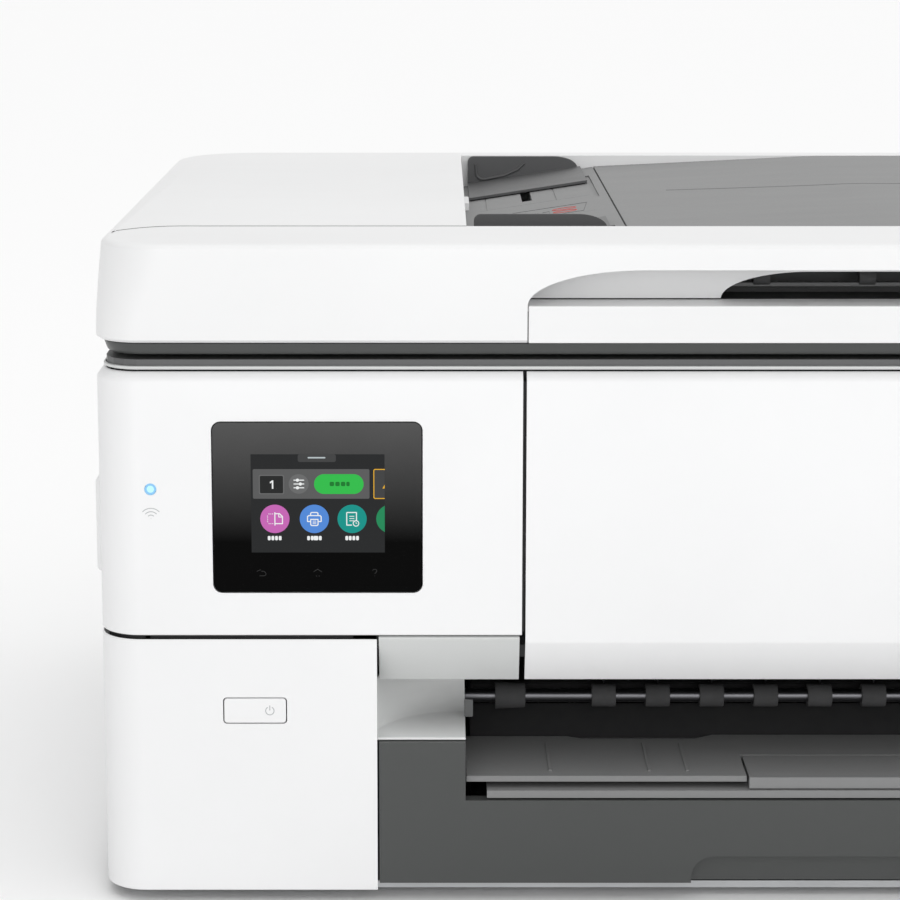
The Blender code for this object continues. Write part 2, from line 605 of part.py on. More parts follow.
def make_feeder():
    reach = -170.0
    end = FLAP_LEFT - 0.6
    section = [(reach, tray_surface(reach) - 3), (end, tray_surface(end) - 3), (end, tray_surface(end)),
               (reach, tray_surface(reach))]
    tray = outline_solid("input_tray", section, "Y", RIM_BACK + GAP, TRAY_BACK - GAP, MID_GREY)
    cheeks = [block("cheek_" + str(i), (-235, y, 246), (-150, y + 3, 265)) for i, y in enumerate((-125, 150))]
    unite(tray, *cheeks)
    slot_x = -106.0
    slots = [block("guide_slot_" + str(i), (slot_x - 2.5, y, 250), (slot_x + 2.5, y + 95, 290))
             for i, y in enumerate((FRONT + 108, FRONT + 256))]
    cut(tray, *slots)
    set_pivot(tray, 0, HINGE_Y, HINGE_Z)
    start_z = TRAY_HIGH_Z + 0.2
    thick = 2.5
    flap_end = TRAY_RIGHT - 0.6
    flap_section = [(FLAP_LEFT, start_z - thick), (FLAP_FLAT_X, HEIGHT - thick), (flap_end, HEIGHT - thick),
                    (flap_end, HEIGHT), (FLAP_FLAT_X, HEIGHT), (FLAP_LEFT, start_z)]
    flap = outline_solid("input_flap", flap_section, "Y", RIM_BACK + GAP, TRAY_BACK - GAP, MID_GREY)
    set_pivot(flap, FLAP_LEFT, 0, start_z)
    length = 270.0
    middle = length / 2
    pick = [(middle, 60, 6.5)]
    turned("pick_roller", (-160, -120, 265.4), "Y", roller_profile(length, 2.5, pick), RUBBER, 12)
    drive = [(middle + step, 50, 9.0) for step in (-75, 0, 75)]
    turned("feeder_roller", (-200, -120, 258.5), "Y", roller_profile(length, 3.0, drive), RUBBER, 12)


def make_guides():
    left, right = -134.7, -75.6
    rounding = 14.0
    lift = 0.4
    face = [(left, tray_surface(left) + lift), (right, tray_surface(right) + lift)]
    face.append((right, tray_surface(right) + lift + 1))
    face += arc(right - rounding, HEIGHT - 5.0, rounding, 5.0, 0, 90, 4)
    face.append((left, HEIGHT))
    thick = 1.2
    foot = [(left, tray_surface(left) + lift), (right, tray_surface(right) + lift),
            (right, tray_surface(right) + lift + thick), (left, tray_surface(left) + lift + thick)]
    for name, wall_y, reach in (("rear_guide", FRONT + 361, -70), ("front_guide", FRONT + 105, 35)):
        wall = outline_solid(name, face, "Y", wall_y - thick, wall_y + thick, DARK_GREY)
        span = sorted((wall_y, wall_y + reach))
        unite(wall, outline_solid("foot_" + name, foot, "Y", span[0], span[1]))
        set_pivot(wall, (left + right) / 2, wall_y, tray_surface(left))


def make_feeder_cover():
    # A shallow lid over the feeder's rollers, with a round back corner and an open underside
    inset = 1.0
    low = COVER_SPLIT + 0.4
    right = TRAY_LEFT - GAP
    front = RIM_BACK + GAP
    left = -HALF + inset
    back = LID_BACK - inset
    corner = LID_CORNER_BACK - inset
    plan = [(left, front), (right, front), (right, back)]
    plan += arc(left + corner, back - corner, corner, corner, 90, 180, 6)
    lid = outline_solid("feeder_cover", plan, "Z", low, HEIGHT, WHITE)
    inner = [(left + WALL, front + WALL), (right - WALL, front + WALL), (right - WALL, back - WALL)]
    inner += arc(left + corner, back - corner, corner - WALL, corner - WALL, 90, 180, 6)
    cut(lid, outline_solid("feeder_cover_inside", inner, "Z", low - 5, HEIGHT - WALL))
    set_pivot(lid, left, 0, low)


def make_front_door():
    profile = ((FRONT + LIP_DEPTH, BAY_TOP), (FRONT, SEAM_LOW - 1.4), (FRONT, BODY_EDGE),
               (FRONT + TOP_INSET, BODY_TOP))
    rings = [[(DOOR_LEFT, y, z), (DOOR_RIGHT, y, z)] for y, z in profile]
    door = wall_shell("front_door", rings, WHITE)
    set_pivot(door, (DOOR_LEFT + DOOR_RIGHT) / 2, DOOR_PIVOT_Y, DOOR_PIVOT_Z)


make_chassis()
make_feet()
make_control_panel()
make_lower_covers()
make_side_covers()
make_rear()
make_power_inlet()
make_electronics()
make_bay()
make_output_tray()
make_cassette()
make_rollers()
make_carriage()
make_scanner()
make_lid_shell()
make_lid_pieces()
make_output_chute()
make_feeder()
make_guides()
make_feeder_cover()
make_front_door()
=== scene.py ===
import math

import bmesh
import bpy
from mathutils import Matrix, Vector


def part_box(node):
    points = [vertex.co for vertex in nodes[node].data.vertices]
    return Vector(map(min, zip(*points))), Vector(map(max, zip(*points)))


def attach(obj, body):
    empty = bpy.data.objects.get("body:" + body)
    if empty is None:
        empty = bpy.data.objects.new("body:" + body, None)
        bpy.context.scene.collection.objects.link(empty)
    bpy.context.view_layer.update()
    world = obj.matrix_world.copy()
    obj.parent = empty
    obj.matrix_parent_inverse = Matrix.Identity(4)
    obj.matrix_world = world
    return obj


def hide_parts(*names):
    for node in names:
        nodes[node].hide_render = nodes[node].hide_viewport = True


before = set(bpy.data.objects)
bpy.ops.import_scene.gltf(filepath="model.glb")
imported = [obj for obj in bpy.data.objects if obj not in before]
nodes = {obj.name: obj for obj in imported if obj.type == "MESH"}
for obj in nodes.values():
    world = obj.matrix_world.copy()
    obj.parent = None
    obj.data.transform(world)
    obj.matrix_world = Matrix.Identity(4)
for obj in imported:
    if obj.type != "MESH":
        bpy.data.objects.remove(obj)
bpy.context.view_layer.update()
scene = bpy.context.scene
mm = 0.001


# shader helpers

class Wire:
    # an output socket; a sum on it adds the Math node for that sum

    def __init__(self, graph, socket):
        self.graph = graph
        self.socket = socket

    def math(self, operation, first, second):
        return self.graph.node("ShaderNodeMath", {"operation": operation}, {0: first, 1: second})

    def __add__(self, other):
        return self.math("ADD", self, other)

    def __mul__(self, other):
        return self.math("MULTIPLY", self, other)

    def __sub__(self, other):
        return self.math("SUBTRACT", self, other)

    def __rsub__(self, other):
        return self.math("SUBTRACT", other, self)

    def __lt__(self, other):
        return self.math("LESS_THAN", self, other)

    __radd__ = __add__
    __rmul__ = __mul__


class Graph:
    # the nodes of one material or of the world

    def __init__(self, tree):
        self.tree = tree

    def node(self, kind, settings=None, inputs=None, output=0):
        made = self.tree.nodes.new(kind)
        for key, value in (settings or {}).items():
            if key == "stops":
                for stop, (position, colour) in zip(made.color_ramp.elements, value):
                    stop.position = position
                    stop.color = colour
            else:
                setattr(made, key, value)
        for key, value in (inputs or {}).items():
            if isinstance(value, Wire):
                self.tree.links.new(value.socket, made.inputs[key])
            else:
                made.inputs[key].default_value = value
        return Wire(self, made.outputs[output])

    def along(self, letter, vector):
        return self.node("ShaderNodeSeparateXYZ", None, {0: vector}, letter)

    def mix(self, amount, first, second, blend="MIX"):
        return self.node("ShaderNodeMix", {"data_type": "RGBA", "blend_type": blend},
                         {0: amount, 6: first, 7: second}, 2)


class Finish(Graph):
    # one material: its Principled shader, and what feeds it

    def __init__(self, name, fixed):
        self.material = bpy.data.materials.new(name)
        self.material.use_nodes = True
        super().__init__(self.material.node_tree)
        self.shader = self.tree.nodes["Principled BSDF"]
        for socketName, value in fixed.items():
            self.shader.inputs[socketName].default_value = value
        self.place = self.node("ShaderNodeTexCoord", output="Object")

    def feed(self, **wires):
        for name, wire in wires.items():
            self.tree.links.new(wire.socket, self.shader.inputs[socketNames[name]])

    def stretched(self, scale):
        return self.node("ShaderNodeMapping", None, {"Vector": self.place, "Scale": scale})

    def noise(self, scale, detail=2.0, place=None):
        return self.node("ShaderNodeTexNoise", None,
                         {"Vector": place or self.place, "Scale": scale, "Detail": detail}, "Fac")

    def bump(self, height, strength, depth):
        return self.node("ShaderNodeBump", None,
                         {"Height": height, "Strength": strength, "Distance": depth}, "Normal")


socketNames = {"colour": "Base Color", "roughness": "Roughness", "normal": "Normal", "metallic": "Metallic",
               "glow": "Emission Color"}


def rgb(value, *rest):
    # grey from one number, or a colour from three
    return (value, value, value, 1.0) if not rest else (value, *rest, 1.0)


def scaled(colour, factor):
    return (*(min(part * factor, 1.0) for part in colour[:3]), 1.0)


# finishes

def moulding(colour, roughness, grain, grainSize, dust):
    return {"colour": colour, "roughness": roughness, "grain": grain, "grainSize": grainSize, "dust": dust}


plasticLooks = {
    "whitePlastic": moulding(rgb(0.80, 0.802, 0.806), 0.38, 0.10, 1500, 0.02),
    "lidPlastic": moulding(rgb(0.785, 0.787, 0.789), 0.36, 0.10, 1500, 0.02),
    # painted shade: a grey copy of the white plastic, for the bay trim's downward-facing chamfer; the scanner
    # bezel's lip also uses it
    "shadedTrimPlastic": moulding(rgb(0.60, 0.612, 0.606), 0.42, 0.35, 950, 0.02),
    # painted light: the output bay's walls and ledges are a paler white than the covers, lifting them out of
    # the shade under the door lip
    "bayPlasticPaintedLight": moulding(rgb(0.86, 0.872, 0.866), 0.45, 0.45, 900, 0.02),
    "trayPlastic": moulding(rgb(0.19, 0.192, 0.193), 0.50, 0.55, 1000, 0.05),
    "guidePlastic": moulding(rgb(0.072, 0.073, 0.075), 0.42, 0.40, 1100, 0.05),
    "skirtPlastic": moulding(rgb(0.055, 0.058, 0.057), 0.34, 0.25, 1100, 0.03),
    "bezelPlastic": moulding(rgb(0.10, 0.102, 0.103), 0.40, 0.30, 1100, 0.03),
    "innerPlastic": moulding(rgb(0.035, 0.036, 0.037), 0.46, 0.35, 900, 0.05),
    "pitchPlastic": moulding(rgb(0.010, 0.010, 0.011), 0.55, 0.30, 900, 0.02),
    "deckPlastic": moulding(rgb(0.21, 0.212, 0.213), 0.50, 0.50, 900, 0.05),
    "foamPad": moulding(rgb(0.80, 0.80, 0.78), 0.75, 0.80, 1300, 0.02),
    "engraving": moulding(rgb(0.11, 0.112, 0.114), 0.55, 0.30, 900, 0.0),
    "whiteInk": moulding(rgb(0.55, 0.56, 0.56), 0.60, 0.30, 1200, 0.0),
    "greyInk": moulding(rgb(0.42, 0.43, 0.44), 0.60, 0.30, 1200, 0.0),
    "redInk": moulding(rgb(0.62, 0.06, 0.05), 0.60, 0.30, 1200, 0.0),
}


def mouldedPlastic(name, look):
    # spark-eroded grain, a slow drift of tone where the melt flowed, faint scuffs, and dust on what faces up
    finish = Finish(name, {"IOR": 1.49})
    grain = finish.noise(look["grainSize"], 3.0)
    pores = finish.noise(look["grainSize"] * 0.31, 2.0)
    drift = finish.noise(9.0, 3.0)
    scuffs = finish.noise(60.0, 5.0, finish.stretched((0.25, 1.0, 2.4)))
    up = finish.along("Z", finish.node("ShaderNodeNewGeometry", output="Normal"))
    dust = finish.node("ShaderNodeMath", {"operation": "MAXIMUM"}, {0: up, 1: 0.0}) * finish.noise(220.0, 4.0)
    tone = finish.mix(drift, scaled(look["colour"], 0.965), scaled(look["colour"], 1.035))
    finish.feed(colour=finish.mix(dust * look["dust"], tone, rgb(0.62, 0.60, 0.57)),
                roughness=(look["roughness"] + (scuffs - 0.5) * 0.07 + (grain - 0.5) * 0.10
                           + dust * look["dust"]),
                normal=finish.bump(grain * 0.7 + pores * 0.3, look["grain"], 0.00006))
    return finish


finishes = {name: mouldedPlastic(name, look) for name, look in plasticLooks.items()}

# the display's painted reflection: a grey mixed into its near-black colour towards the top
glossLook = {"colour": rgb(0.0015), "reflectionGrey": rgb(0.080), "reflectionFrom": 0.156, "reflectionRise": 0.050, "roughness": 0.07}


def glossBlack(name, look):
    # smoked display glass with finger smudges, and a painted reflection: its colour turns grey towards the top,
    # standing in for the room mirrored in it
    finish = Finish(name, {"IOR": 1.11})
    height = finish.along("Z", finish.place)
    # painted reflection: over this band of height the glass colour turns grey
    rise = finish.node("ShaderNodeMapRange", None, {"Value": height, "From Min": look["reflectionFrom"],
                                                    "From Max": look["reflectionFrom"] + look["reflectionRise"]})
    smudges = finish.noise(45.0, 5.0)
    finish.feed(colour=finish.mix(rise * (0.92 + smudges * 0.16), look["colour"], look["reflectionGrey"]),
                roughness=look["roughness"] + smudges * smudges * 0.10,
                normal=finish.bump(finish.noise(28.0, 1.0), 0.02, 0.0002))
    return finish


finishes["displayGloss"] = glossBlack("displayGloss", glossLook)

metalLooks = {
    "brushedSteel": {"colour": rgb(0.60, 0.60, 0.62), "roughness": 0.30, "grainAlong": (40, 1400, 1400)},
    "platedSheet": {"colour": rgb(0.52, 0.53, 0.54), "roughness": 0.42, "grainAlong": (500, 60, 500)},
    "darkShaft": {"colour": rgb(0.16, 0.16, 0.17), "roughness": 0.34, "grainAlong": (30, 1300, 1300)},
}


def metal(name, look):
    # drawn or rolled metal with fine lines along its length and a little bloom
    finish = Finish(name, {"Metallic": 1.0})
    lines = finish.noise(1.0, 4.0, finish.stretched(look["grainAlong"]))
    bloom = finish.noise(30.0, 4.0)
    finish.feed(colour=finish.mix(bloom, scaled(look["colour"], 0.86), scaled(look["colour"], 1.12)),
                roughness=look["roughness"] + (lines - 0.5) * 0.22 + (bloom - 0.5) * 0.12,
                normal=finish.bump(lines, 0.12, 0.00004))
    return finish


finishes.update({name: metal(name, look) for name, look in metalLooks.items()})

rubberLook = {"colour": rgb(0.045, 0.045, 0.046), "roughness": 0.82, "ribs": 900.0}


def rubber(name, look):
    # matt ground rubber with a soft, powdery bloom
    finish = Finish(name, {"IOR": 1.45})
    grit = finish.noise(look["ribs"], 3.0)
    bloom = finish.noise(80.0, 4.0)
    finish.feed(colour=finish.mix(bloom, look["colour"], scaled(look["colour"], 1.9)),
                roughness=look["roughness"] + (grit - 0.5) * 0.15, normal=finish.bump(grit, 0.5, 0.00008))
    return finish


finishes["rubber"] = rubber("rubber", rubberLook)

boardLook = {"mask": rgb(0.010, 0.110, 0.045), "track": rgb(0.025, 0.230, 0.085), "pad": rgb(0.62, 0.60, 0.52)}


def circuitBoard(name, look):
    # solder mask with raised tracks between cells and tinned pads at their middles
    finish = Finish(name, {"IOR": 1.5})
    cells = {"Vector": finish.place, "Scale": 260.0}
    edges = finish.node("ShaderNodeTexVoronoi", {"feature": "DISTANCE_TO_EDGE", "distance": "CHEBYCHEV"}, cells)
    middles = finish.node("ShaderNodeTexVoronoi", {"feature": "F1", "distance": "EUCLIDEAN"}, cells)
    track = edges < 0.07
    pad = middles < 0.16
    finish.feed(colour=finish.mix(pad, finish.mix(track, look["mask"], look["track"]), look["pad"]),
                roughness=0.48 - pad * 0.16 - track * 0.08, metallic=pad,
                normal=finish.bump(track + pad, 0.4, 0.0001))
    return finish


finishes["circuitBoard"] = circuitBoard("circuitBoard", boardLook)

paneLook = {"colour": rgb(0.90, 0.97, 0.95), "roughness": 0.015}


def clearPane(name, look):
    # float glass with wiping marks
    finish = Finish(name, {"IOR": 1.5, "Transmission Weight": 0.92})
    marks = finish.noise(18.0, 5.0, finish.stretched((1.0, 3.5, 1.0)))
    finish.feed(colour=finish.mix(marks, look["colour"], scaled(look["colour"], 0.97)),
                roughness=look["roughness"] + marks * marks * 0.05)
    return finish


finishes["clearPane"] = clearPane("clearPane", paneLook)

glowLooks = {
    "screenGround": rgb(0.020, 0.021, 0.022),
    "screenTab": rgb(0.055, 0.056, 0.057),
    "screenCard": rgb(0.105, 0.106, 0.107),
    "screenBox": rgb(0.020, 0.021, 0.021),
    "screenChip": rgb(0.150, 0.152, 0.153),
    "screenWhite": rgb(0.86, 0.88, 0.88),
    "screenSilver": rgb(0.50, 0.56, 0.58),
    "screenGreen": rgb(0.035, 0.520, 0.075),
    "screenWord": rgb(0.012, 0.190, 0.028),
    "screenYellow": rgb(0.800, 0.430, 0.030),
    "screenPink": rgb(0.560, 0.135, 0.460),
    "screenBlue": rgb(0.085, 0.250, 0.680),
    "screenTeal": rgb(0.008, 0.290, 0.250),
    "screenForest": rgb(0.018, 0.250, 0.100),
    "touchMark": rgb(0.055),
    "lampCore": rgb(0.55, 0.93, 1.0),
    "lampRing": rgb(0.30, 0.62, 0.95),
}
glowPowers = {"lampCore": 1.1}


def lit(name, colour):
    # a lit area: its colour glows through a fine grid of cells and drifts a little
    finish = Finish(name, {"Base Color": rgb(0.002), "IOR": 1.16, "Roughness": 0.10,
                           "Emission Strength": glowPowers.get(name, 1.0)})
    drift = finish.noise(40.0, 2.0)
    cells = finish.node("ShaderNodeTexVoronoi", {"feature": "DISTANCE_TO_EDGE"},
                        {"Vector": finish.place, "Scale": 9000.0, "Randomness": 0.0})
    grid = (cells < 0.06) * 0.10 + (drift - 0.5) * 0.12
    finish.feed(glow=finish.mix(grid, colour, scaled(colour, 0.5)))
    return finish


finishes.update({name: lit(name, colour) for name, colour in glowLooks.items()})

inkLooks = {"yellow": rgb(0.86, 0.62, 0.03), "magenta": rgb(0.60, 0.025, 0.22), "cyan": rgb(0.015, 0.33, 0.62),
            "black": rgb(0.03, 0.03, 0.032)}
for inkName, inkColour in inkLooks.items():
    finishes["label_" + inkName] = mouldedPlastic("label_" + inkName, moulding(inkColour, 0.30, 0.15, 900, 0.0))
print("finishes made:", len(finishes))


# shape helpers, all in millimetres

class Place:
    # a CAD node's box

    def __init__(self, node):
        low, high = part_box(node)
        self.left, self.front, self.low = (part / mm for part in low)
        self.right, self.back, self.high = (part / mm for part in high)
        self.midX = (self.left + self.right) / 2
        self.midY = (self.front + self.back) / 2
        self.midZ = (self.low + self.high) / 2

    def outline(self, radius, steps=6, grow=0.0):
        # its front view as a rounded box
        return roundedBox(self.left - grow, self.low - grow, self.right + grow, self.high + grow, radius, steps)


def fromForm(name, form):
    bmesh.ops.scale(form, vec=(mm, mm, mm), verts=form.verts)
    mesh = bpy.data.meshes.new(name)
    form.to_mesh(mesh)
    form.free()
    piece = bpy.data.objects.new(name, mesh)
    scene.collection.objects.link(piece)
    return piece


def placed(axis, u, v, along):
    return {"X": (along, u, v), "Y": (u, along, v), "Z": (u, v, along)}[axis]


def prism(name, points, axis, low, high):
    # an outline pulled along an axis; its points are (y, z), (x, z) or (x, y)
    form = bmesh.new()
    points = [point for i, point in enumerate(points) if math.dist(point, points[i - 1]) > 0.001]
    lower, upper = ([form.verts.new(placed(axis, u, v, along)) for u, v in points] for along in (low, high))
    form.faces.new(lower)
    form.faces.new(upper)
    for i in range(len(points)):
        j = (i + 1) % len(points)
        form.faces.new((lower[i], lower[j], upper[j], upper[i]))
    bmesh.ops.recalc_face_normals(form, faces=form.faces)
    return fromForm(name, form)


def slab(name, low, high):
    (x0, y0, z0), (x1, y1, z1) = low, high
    return prism(name, [(x0, y0), (x1, y0), (x1, y1), (x0, y1)], "Z", z0, z1)


def arc(cx, cy, rx, ry, start, end, steps=14):
    turns = [math.radians(start + (end - start) * i / steps) for i in range(steps + 1)]
    return [(cx + rx * math.cos(turn), cy + ry * math.sin(turn)) for turn in turns]


def roundedPlan(left, front, right, back, frontRadius, backRadius, steps=10):
    return (arc(right - frontRadius, front + frontRadius, frontRadius, frontRadius, -90, 0, steps)
            + arc(right - backRadius, back - backRadius, backRadius, backRadius, 0, 90, steps)
            + arc(left + backRadius, back - backRadius, backRadius, backRadius, 90, 180, steps)
            + arc(left + frontRadius, front + frontRadius, frontRadius, frontRadius, 180, 270, steps))


def roundedBox(left, low, right, high, radius, steps=6):
    return roundedPlan(left, low, right, high, radius, radius, steps)


def rod(name, centre, radius, length, axis):
    form = bmesh.new()
    bmesh.ops.create_cone(form, cap_ends=True, segments=32, radius1=radius, radius2=radius, depth=length)
    turn = {"X": Matrix.Rotation(math.pi / 2, 4, "Y"), "Y": Matrix.Rotation(-math.pi / 2, 4, "X"),
            "Z": Matrix.Identity(4)}[axis]
    bmesh.ops.transform(form, matrix=Matrix.Translation(Vector(centre)) @ turn, verts=form.verts)
    return fromForm(name, form)


def lathe(name, centre, axis, profile, steps=36):
    # (radius, distance along the axis) pairs turned round it
    form = bmesh.new()
    rings = []
    for radius, along in profile:
        points = arc(0, 0, max(radius, 0.01), max(radius, 0.01), 0, 360 - 360 / steps, steps - 1)
        rings.append([form.verts.new(Vector(centre) + Vector(placed(axis, u, v, along))) for u, v in points])
    for one, two in zip(rings, rings[1:]):
        for i in range(steps):
            j = (i + 1) % steps
            form.faces.new((one[i], one[j], two[j], two[i]))
    form.faces.new(rings[0])
    form.faces.new(rings[-1])
    bmesh.ops.recalc_face_normals(form, faces=form.faces)
    return fromForm(name, form)


def skin(name, rings, closed=False, capped=False, thickness=2.5, even=True):
    # a wall through rings of points, thickened towards its inside
    form = bmesh.new()
    rows = [[form.verts.new(point) for point in ring] for ring in rings]
    count = len(rows[0])
    for lower, upper in zip(rows, rows[1:]):
        for i in range(count if closed else count - 1):
            j = (i + 1) % count
            form.faces.new((lower[i], lower[j], upper[j], upper[i]))
    if capped:
        form.faces.new(rows[-1])
    piece = fromForm(name, form)
    wall = piece.modifiers.new("wall", "SOLIDIFY")
    wall.thickness = thickness * mm
    wall.offset = -1.0
    wall.use_even_offset = even
    return freeze(piece)


def wire(name, points, radius, cyclic=False, flat=None):
    # a round or flattened cord of material along a path, as one mesh
    line = bpy.data.curves.new(name, "CURVE")
    line.dimensions = "3D"
    line.bevel_depth = radius * mm
    line.bevel_resolution = 3
    line.use_fill_caps = True
    spline = line.splines.new("POLY")
    spline.points.add(len(points) - 1)
    for point, place in zip(spline.points, points):
        point.co = (*(part * mm for part in place), 1.0)
    spline.use_cyclic_u = cyclic
    drawn = bpy.data.objects.new(name, line)
    scene.collection.objects.link(drawn)
    mesh = bpy.data.meshes.new_from_object(drawn.evaluated_get(bpy.context.evaluated_depsgraph_get()))
    bpy.data.objects.remove(drawn)
    mesh.name = name
    piece = bpy.data.objects.new(name, mesh)
    scene.collection.objects.link(piece)
    if flat is not None:  # squeezed towards this depth, as a line drawn on a front face
        for vertex in mesh.vertices:
            vertex.co.y = flat * mm + (vertex.co.y - flat * mm) * 0.2
    return piece


def freeze(piece):
    # turns the modifiers into mesh
    shape = bpy.data.meshes.new_from_object(piece.evaluated_get(bpy.context.evaluated_depsgraph_get()))
    piece.modifiers.clear()
    piece.data = shape
    return piece


def combine(target, operation, tools):
    for tool in tools:
        step = target.modifiers.new("step", "BOOLEAN")
        step.operation = operation
        step.solver = "EXACT"
        step.object = tool
    freeze(target)
    for tool in tools:
        bpy.data.objects.remove(tool)
    return target


def cut(target, *tools):
    return combine(target, "DIFFERENCE", tools)


def unite(target, *tools):
    return combine(target, "UNION", tools)


def gather(name, parts):
    # several loose shapes as one piece
    form = bmesh.new()
    for part in parts:
        form.from_mesh(part.data)
        bpy.data.objects.remove(part)
    mesh = bpy.data.meshes.new(name)
    form.to_mesh(mesh)
    form.free()
    piece = bpy.data.objects.new(name, mesh)
    scene.collection.objects.link(piece)
    return piece


def settle(piece, finish, body="printer_body", instead=None, edge=0.0, steps=3, sharp=32):
    # rounds a piece's edges, dresses it, and fixes it to the body that it moves with
    piece.data.materials.clear()
    piece.data.materials.append(finishes[finish].material)
    for face in piece.data.polygons:
        face.use_smooth = True
    if edge:
        rounding = piece.modifiers.new("edge", "BEVEL")
        rounding.width = edge * mm
        rounding.segments = steps
        rounding.limit_method = "ANGLE"
        rounding.angle_limit = math.radians(sharp)
        rounding.miter_outer = "MITER_ARC"
        rounding.harden_normals = True
    else:
        piece.data.set_sharp_from_angle(angle=math.radians(sharp))
    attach(piece, body)
    if instead:
        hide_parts(instead)


def dress(finish, *names):
    # a CAD node that keeps its shape gets a better material
    for name in names:
        nodes[name].data.materials.clear()
        nodes[name].data.materials.append(finishes[finish].material)


# casing: the covers all share these sizes

door = Place("front_door")
lid = Place("lid_shell")
rearCover = Place("rear_cover")
hands = (("left", -1), ("right", 1))
casing = {"half": lid.right, "front": door.front, "back": rearCover.back, "frontCorner": 18.0,
          "backCorner": 20.0, "sideSeam": Place("left_side_cover").front, "gap": 0.4, "wall": 2.5,
          "topSlope": 4.0, "topEdge": 223.5, "top": door.high, "edge": 0.35}


def frontCornerPath(innerX, side):
    def at(inset):
        radius = casing["frontCorner"] - inset
        reach = casing["half"] - inset
        turn = arc(reach - radius, casing["front"] + casing["frontCorner"], radius, radius, -90, 0, 18)
        path = [(innerX, casing["front"] + inset)] + [(side * x, y) for x, y in turn]
        return path + [(side * reach, casing["sideSeam"] - casing["gap"])]
    return at


def backCornerPath(side):
    def at(inset):
        radius = casing["backCorner"] - inset
        reach = casing["half"] - inset
        turn = arc(reach - radius, casing["back"] - casing["backCorner"], radius, radius, 0, 90, 18)
        return [(side * reach, casing["sideSeam"])] + [(side * x, y) for x, y in turn]
    return at


def topLevels(low):
    # (height, inset) pairs: a softened foot, an upright wall, then a slope that rounds over to the top
    slope, top, edge = casing["topSlope"], casing["top"], casing["topEdge"]
    rise = top - edge
    return [(low, 0.5), (low + 0.5, 0.0), (edge - 0.8, 0.0), (edge, 0.25), (edge + rise * 0.35, 1.1),
            (edge + rise * 0.68, 2.2), (edge + rise * 0.9, 3.2), (top, slope)]


def coverSkin(name, pathAt, side, levels):
    rings = []
    for height, inset in levels:
        path = pathAt(inset)
        rings.append([(x, y, height) for x, y in (path if side > 0 else path[::-1])])
    return skin(name, rings, thickness=casing["wall"])


display = {"glass": Place("display_glass"), "corner": 3.5, "rim": 0.4}
lamp = {"at": Place("status_light"), "hole": 2.5}
button = {"at": Place("power_button"), "corner": 1.6, "gap": 0.45}


def makePanelCover():
    box, front, rim = Place("control_panel_cover"), casing["front"], display["rim"]
    cover = coverSkin("controlPanelCover", frontCornerPath(box.right, -1), -1, topLevels(box.low))
    hole = display["glass"].outline(display["corner"] + rim, 8, rim)
    window = prism("window", hole, "Y", front - 5, front + 8)
    eye = rod("eye", (lamp["at"].midX, front, lamp["at"].midZ), lamp["hole"], 14, "Y")
    cut(cover, window, eye)
    settle(cover, "whitePlastic", instead="control_panel_cover", edge=casing["edge"])


def makeLowerLeftCover():
    box, front = Place("lower_left_cover"), casing["front"]
    levels = [(box.low, 0.5), (box.low + 0.5, 0.0), (box.high - 0.6, 0.0), (box.high, 0.5)]
    cover = coverSkin("lowerLeftCover", frontCornerPath(box.right, -1), -1, levels)
    hole = prism("hole", button["at"].outline(button["corner"], grow=button["gap"]), "Y", front - 5, front + 8)
    settle(cut(cover, hole), "whitePlastic", instead="lower_left_cover", edge=casing["edge"])


def makeRightFrontCover():
    box = Place("right_front_cover")
    cover = coverSkin("rightFrontCover", frontCornerPath(box.left, 1), 1, topLevels(box.low))
    settle(cover, "whitePlastic", instead="right_front_cover", edge=casing["edge"])


sideBump = {"low": 134.1, "high": 175.1, "back": -69.0, "slope": 8.0, "round": 2.2}


def makeSideCovers():
    for hand, side in hands:
        box = Place(hand + "_side_cover")
        cover = coverSkin("sideCover_" + hand, backCornerPath(side), side, topLevels(box.low))
        inner, outer = side * (casing["half"] - 1), side * max(abs(box.left), abs(box.right))
        seam, back, slope = box.front, sideBump["back"], sideBump["slope"]
        plan = [(inner, seam + 1), (outer, seam + 2), (outer, back - slope), (inner, back)]
        bump = prism("bump", plan, "Z", sideBump["low"], sideBump["high"])
        rounding = bump.modifiers.new("round", "BEVEL")
        rounding.width = sideBump["round"] * mm
        rounding.segments = 5
        unite(cover, freeze(bump))
        settle(cover, "whitePlastic", instead=hand + "_side_cover", edge=casing["edge"], sharp=40)


rearLook = {"gap": 0.45, "ribPitch": 9.0, "ribDepth": 0.7, "vents": 16, "ventPitch": 7.5, "ventLow": 184,
            "ventHigh": 208, "sockets": ((-200, -187, 40), (-175, -158, 42))}


def makeRearCover():
    front, back, gap = rearCover.back - casing["wall"], rearCover.back, rearLook["gap"]
    cover = slab("rearCover", (rearCover.left, front, rearCover.low), (rearCover.right, back, rearCover.high))
    tools = [prism("hole", Place(name).outline(corner, grow=gap), "Y", front - 4, back + 4)
             for name, corner in (("rear_access_door", 2.0), ("power_inlet", 1.0))]
    tools += [slab("socketHole", (left, front - 4, 28), (right, back + 4, high))
              for left, right, high in rearLook["sockets"]]
    for side in (-1, 1):  # vents above the door, a row of upright slots on each side
        for i in range(rearLook["vents"]):
            x = side * (90 + i * rearLook["ventPitch"]) + 16
            slot = roundedBox(x - 1.4, rearLook["ventLow"], x + 1.4, rearLook["ventHigh"], 1.3, 4)
            tools.append(prism("vent", slot, "Y", front - 4, back + 4))
    screwSpots = [(x, z) for x in (-255, 255) for z in (16, 118, 216)]
    tools += [rod("sink", (x, back, z), 4.4, 2.2, "Y") for x, z in screwSpots]
    settle(cut(cover, *tools), "whitePlastic", instead="rear_cover", edge=0.3)
    makeScrews("rearScrews", screwSpots, back - 0.9)
    backing = slab("ventBacking", (-250, front - 3.4, 176), (262, front - 2.2, 214))
    settle(backing, "pitchPlastic")


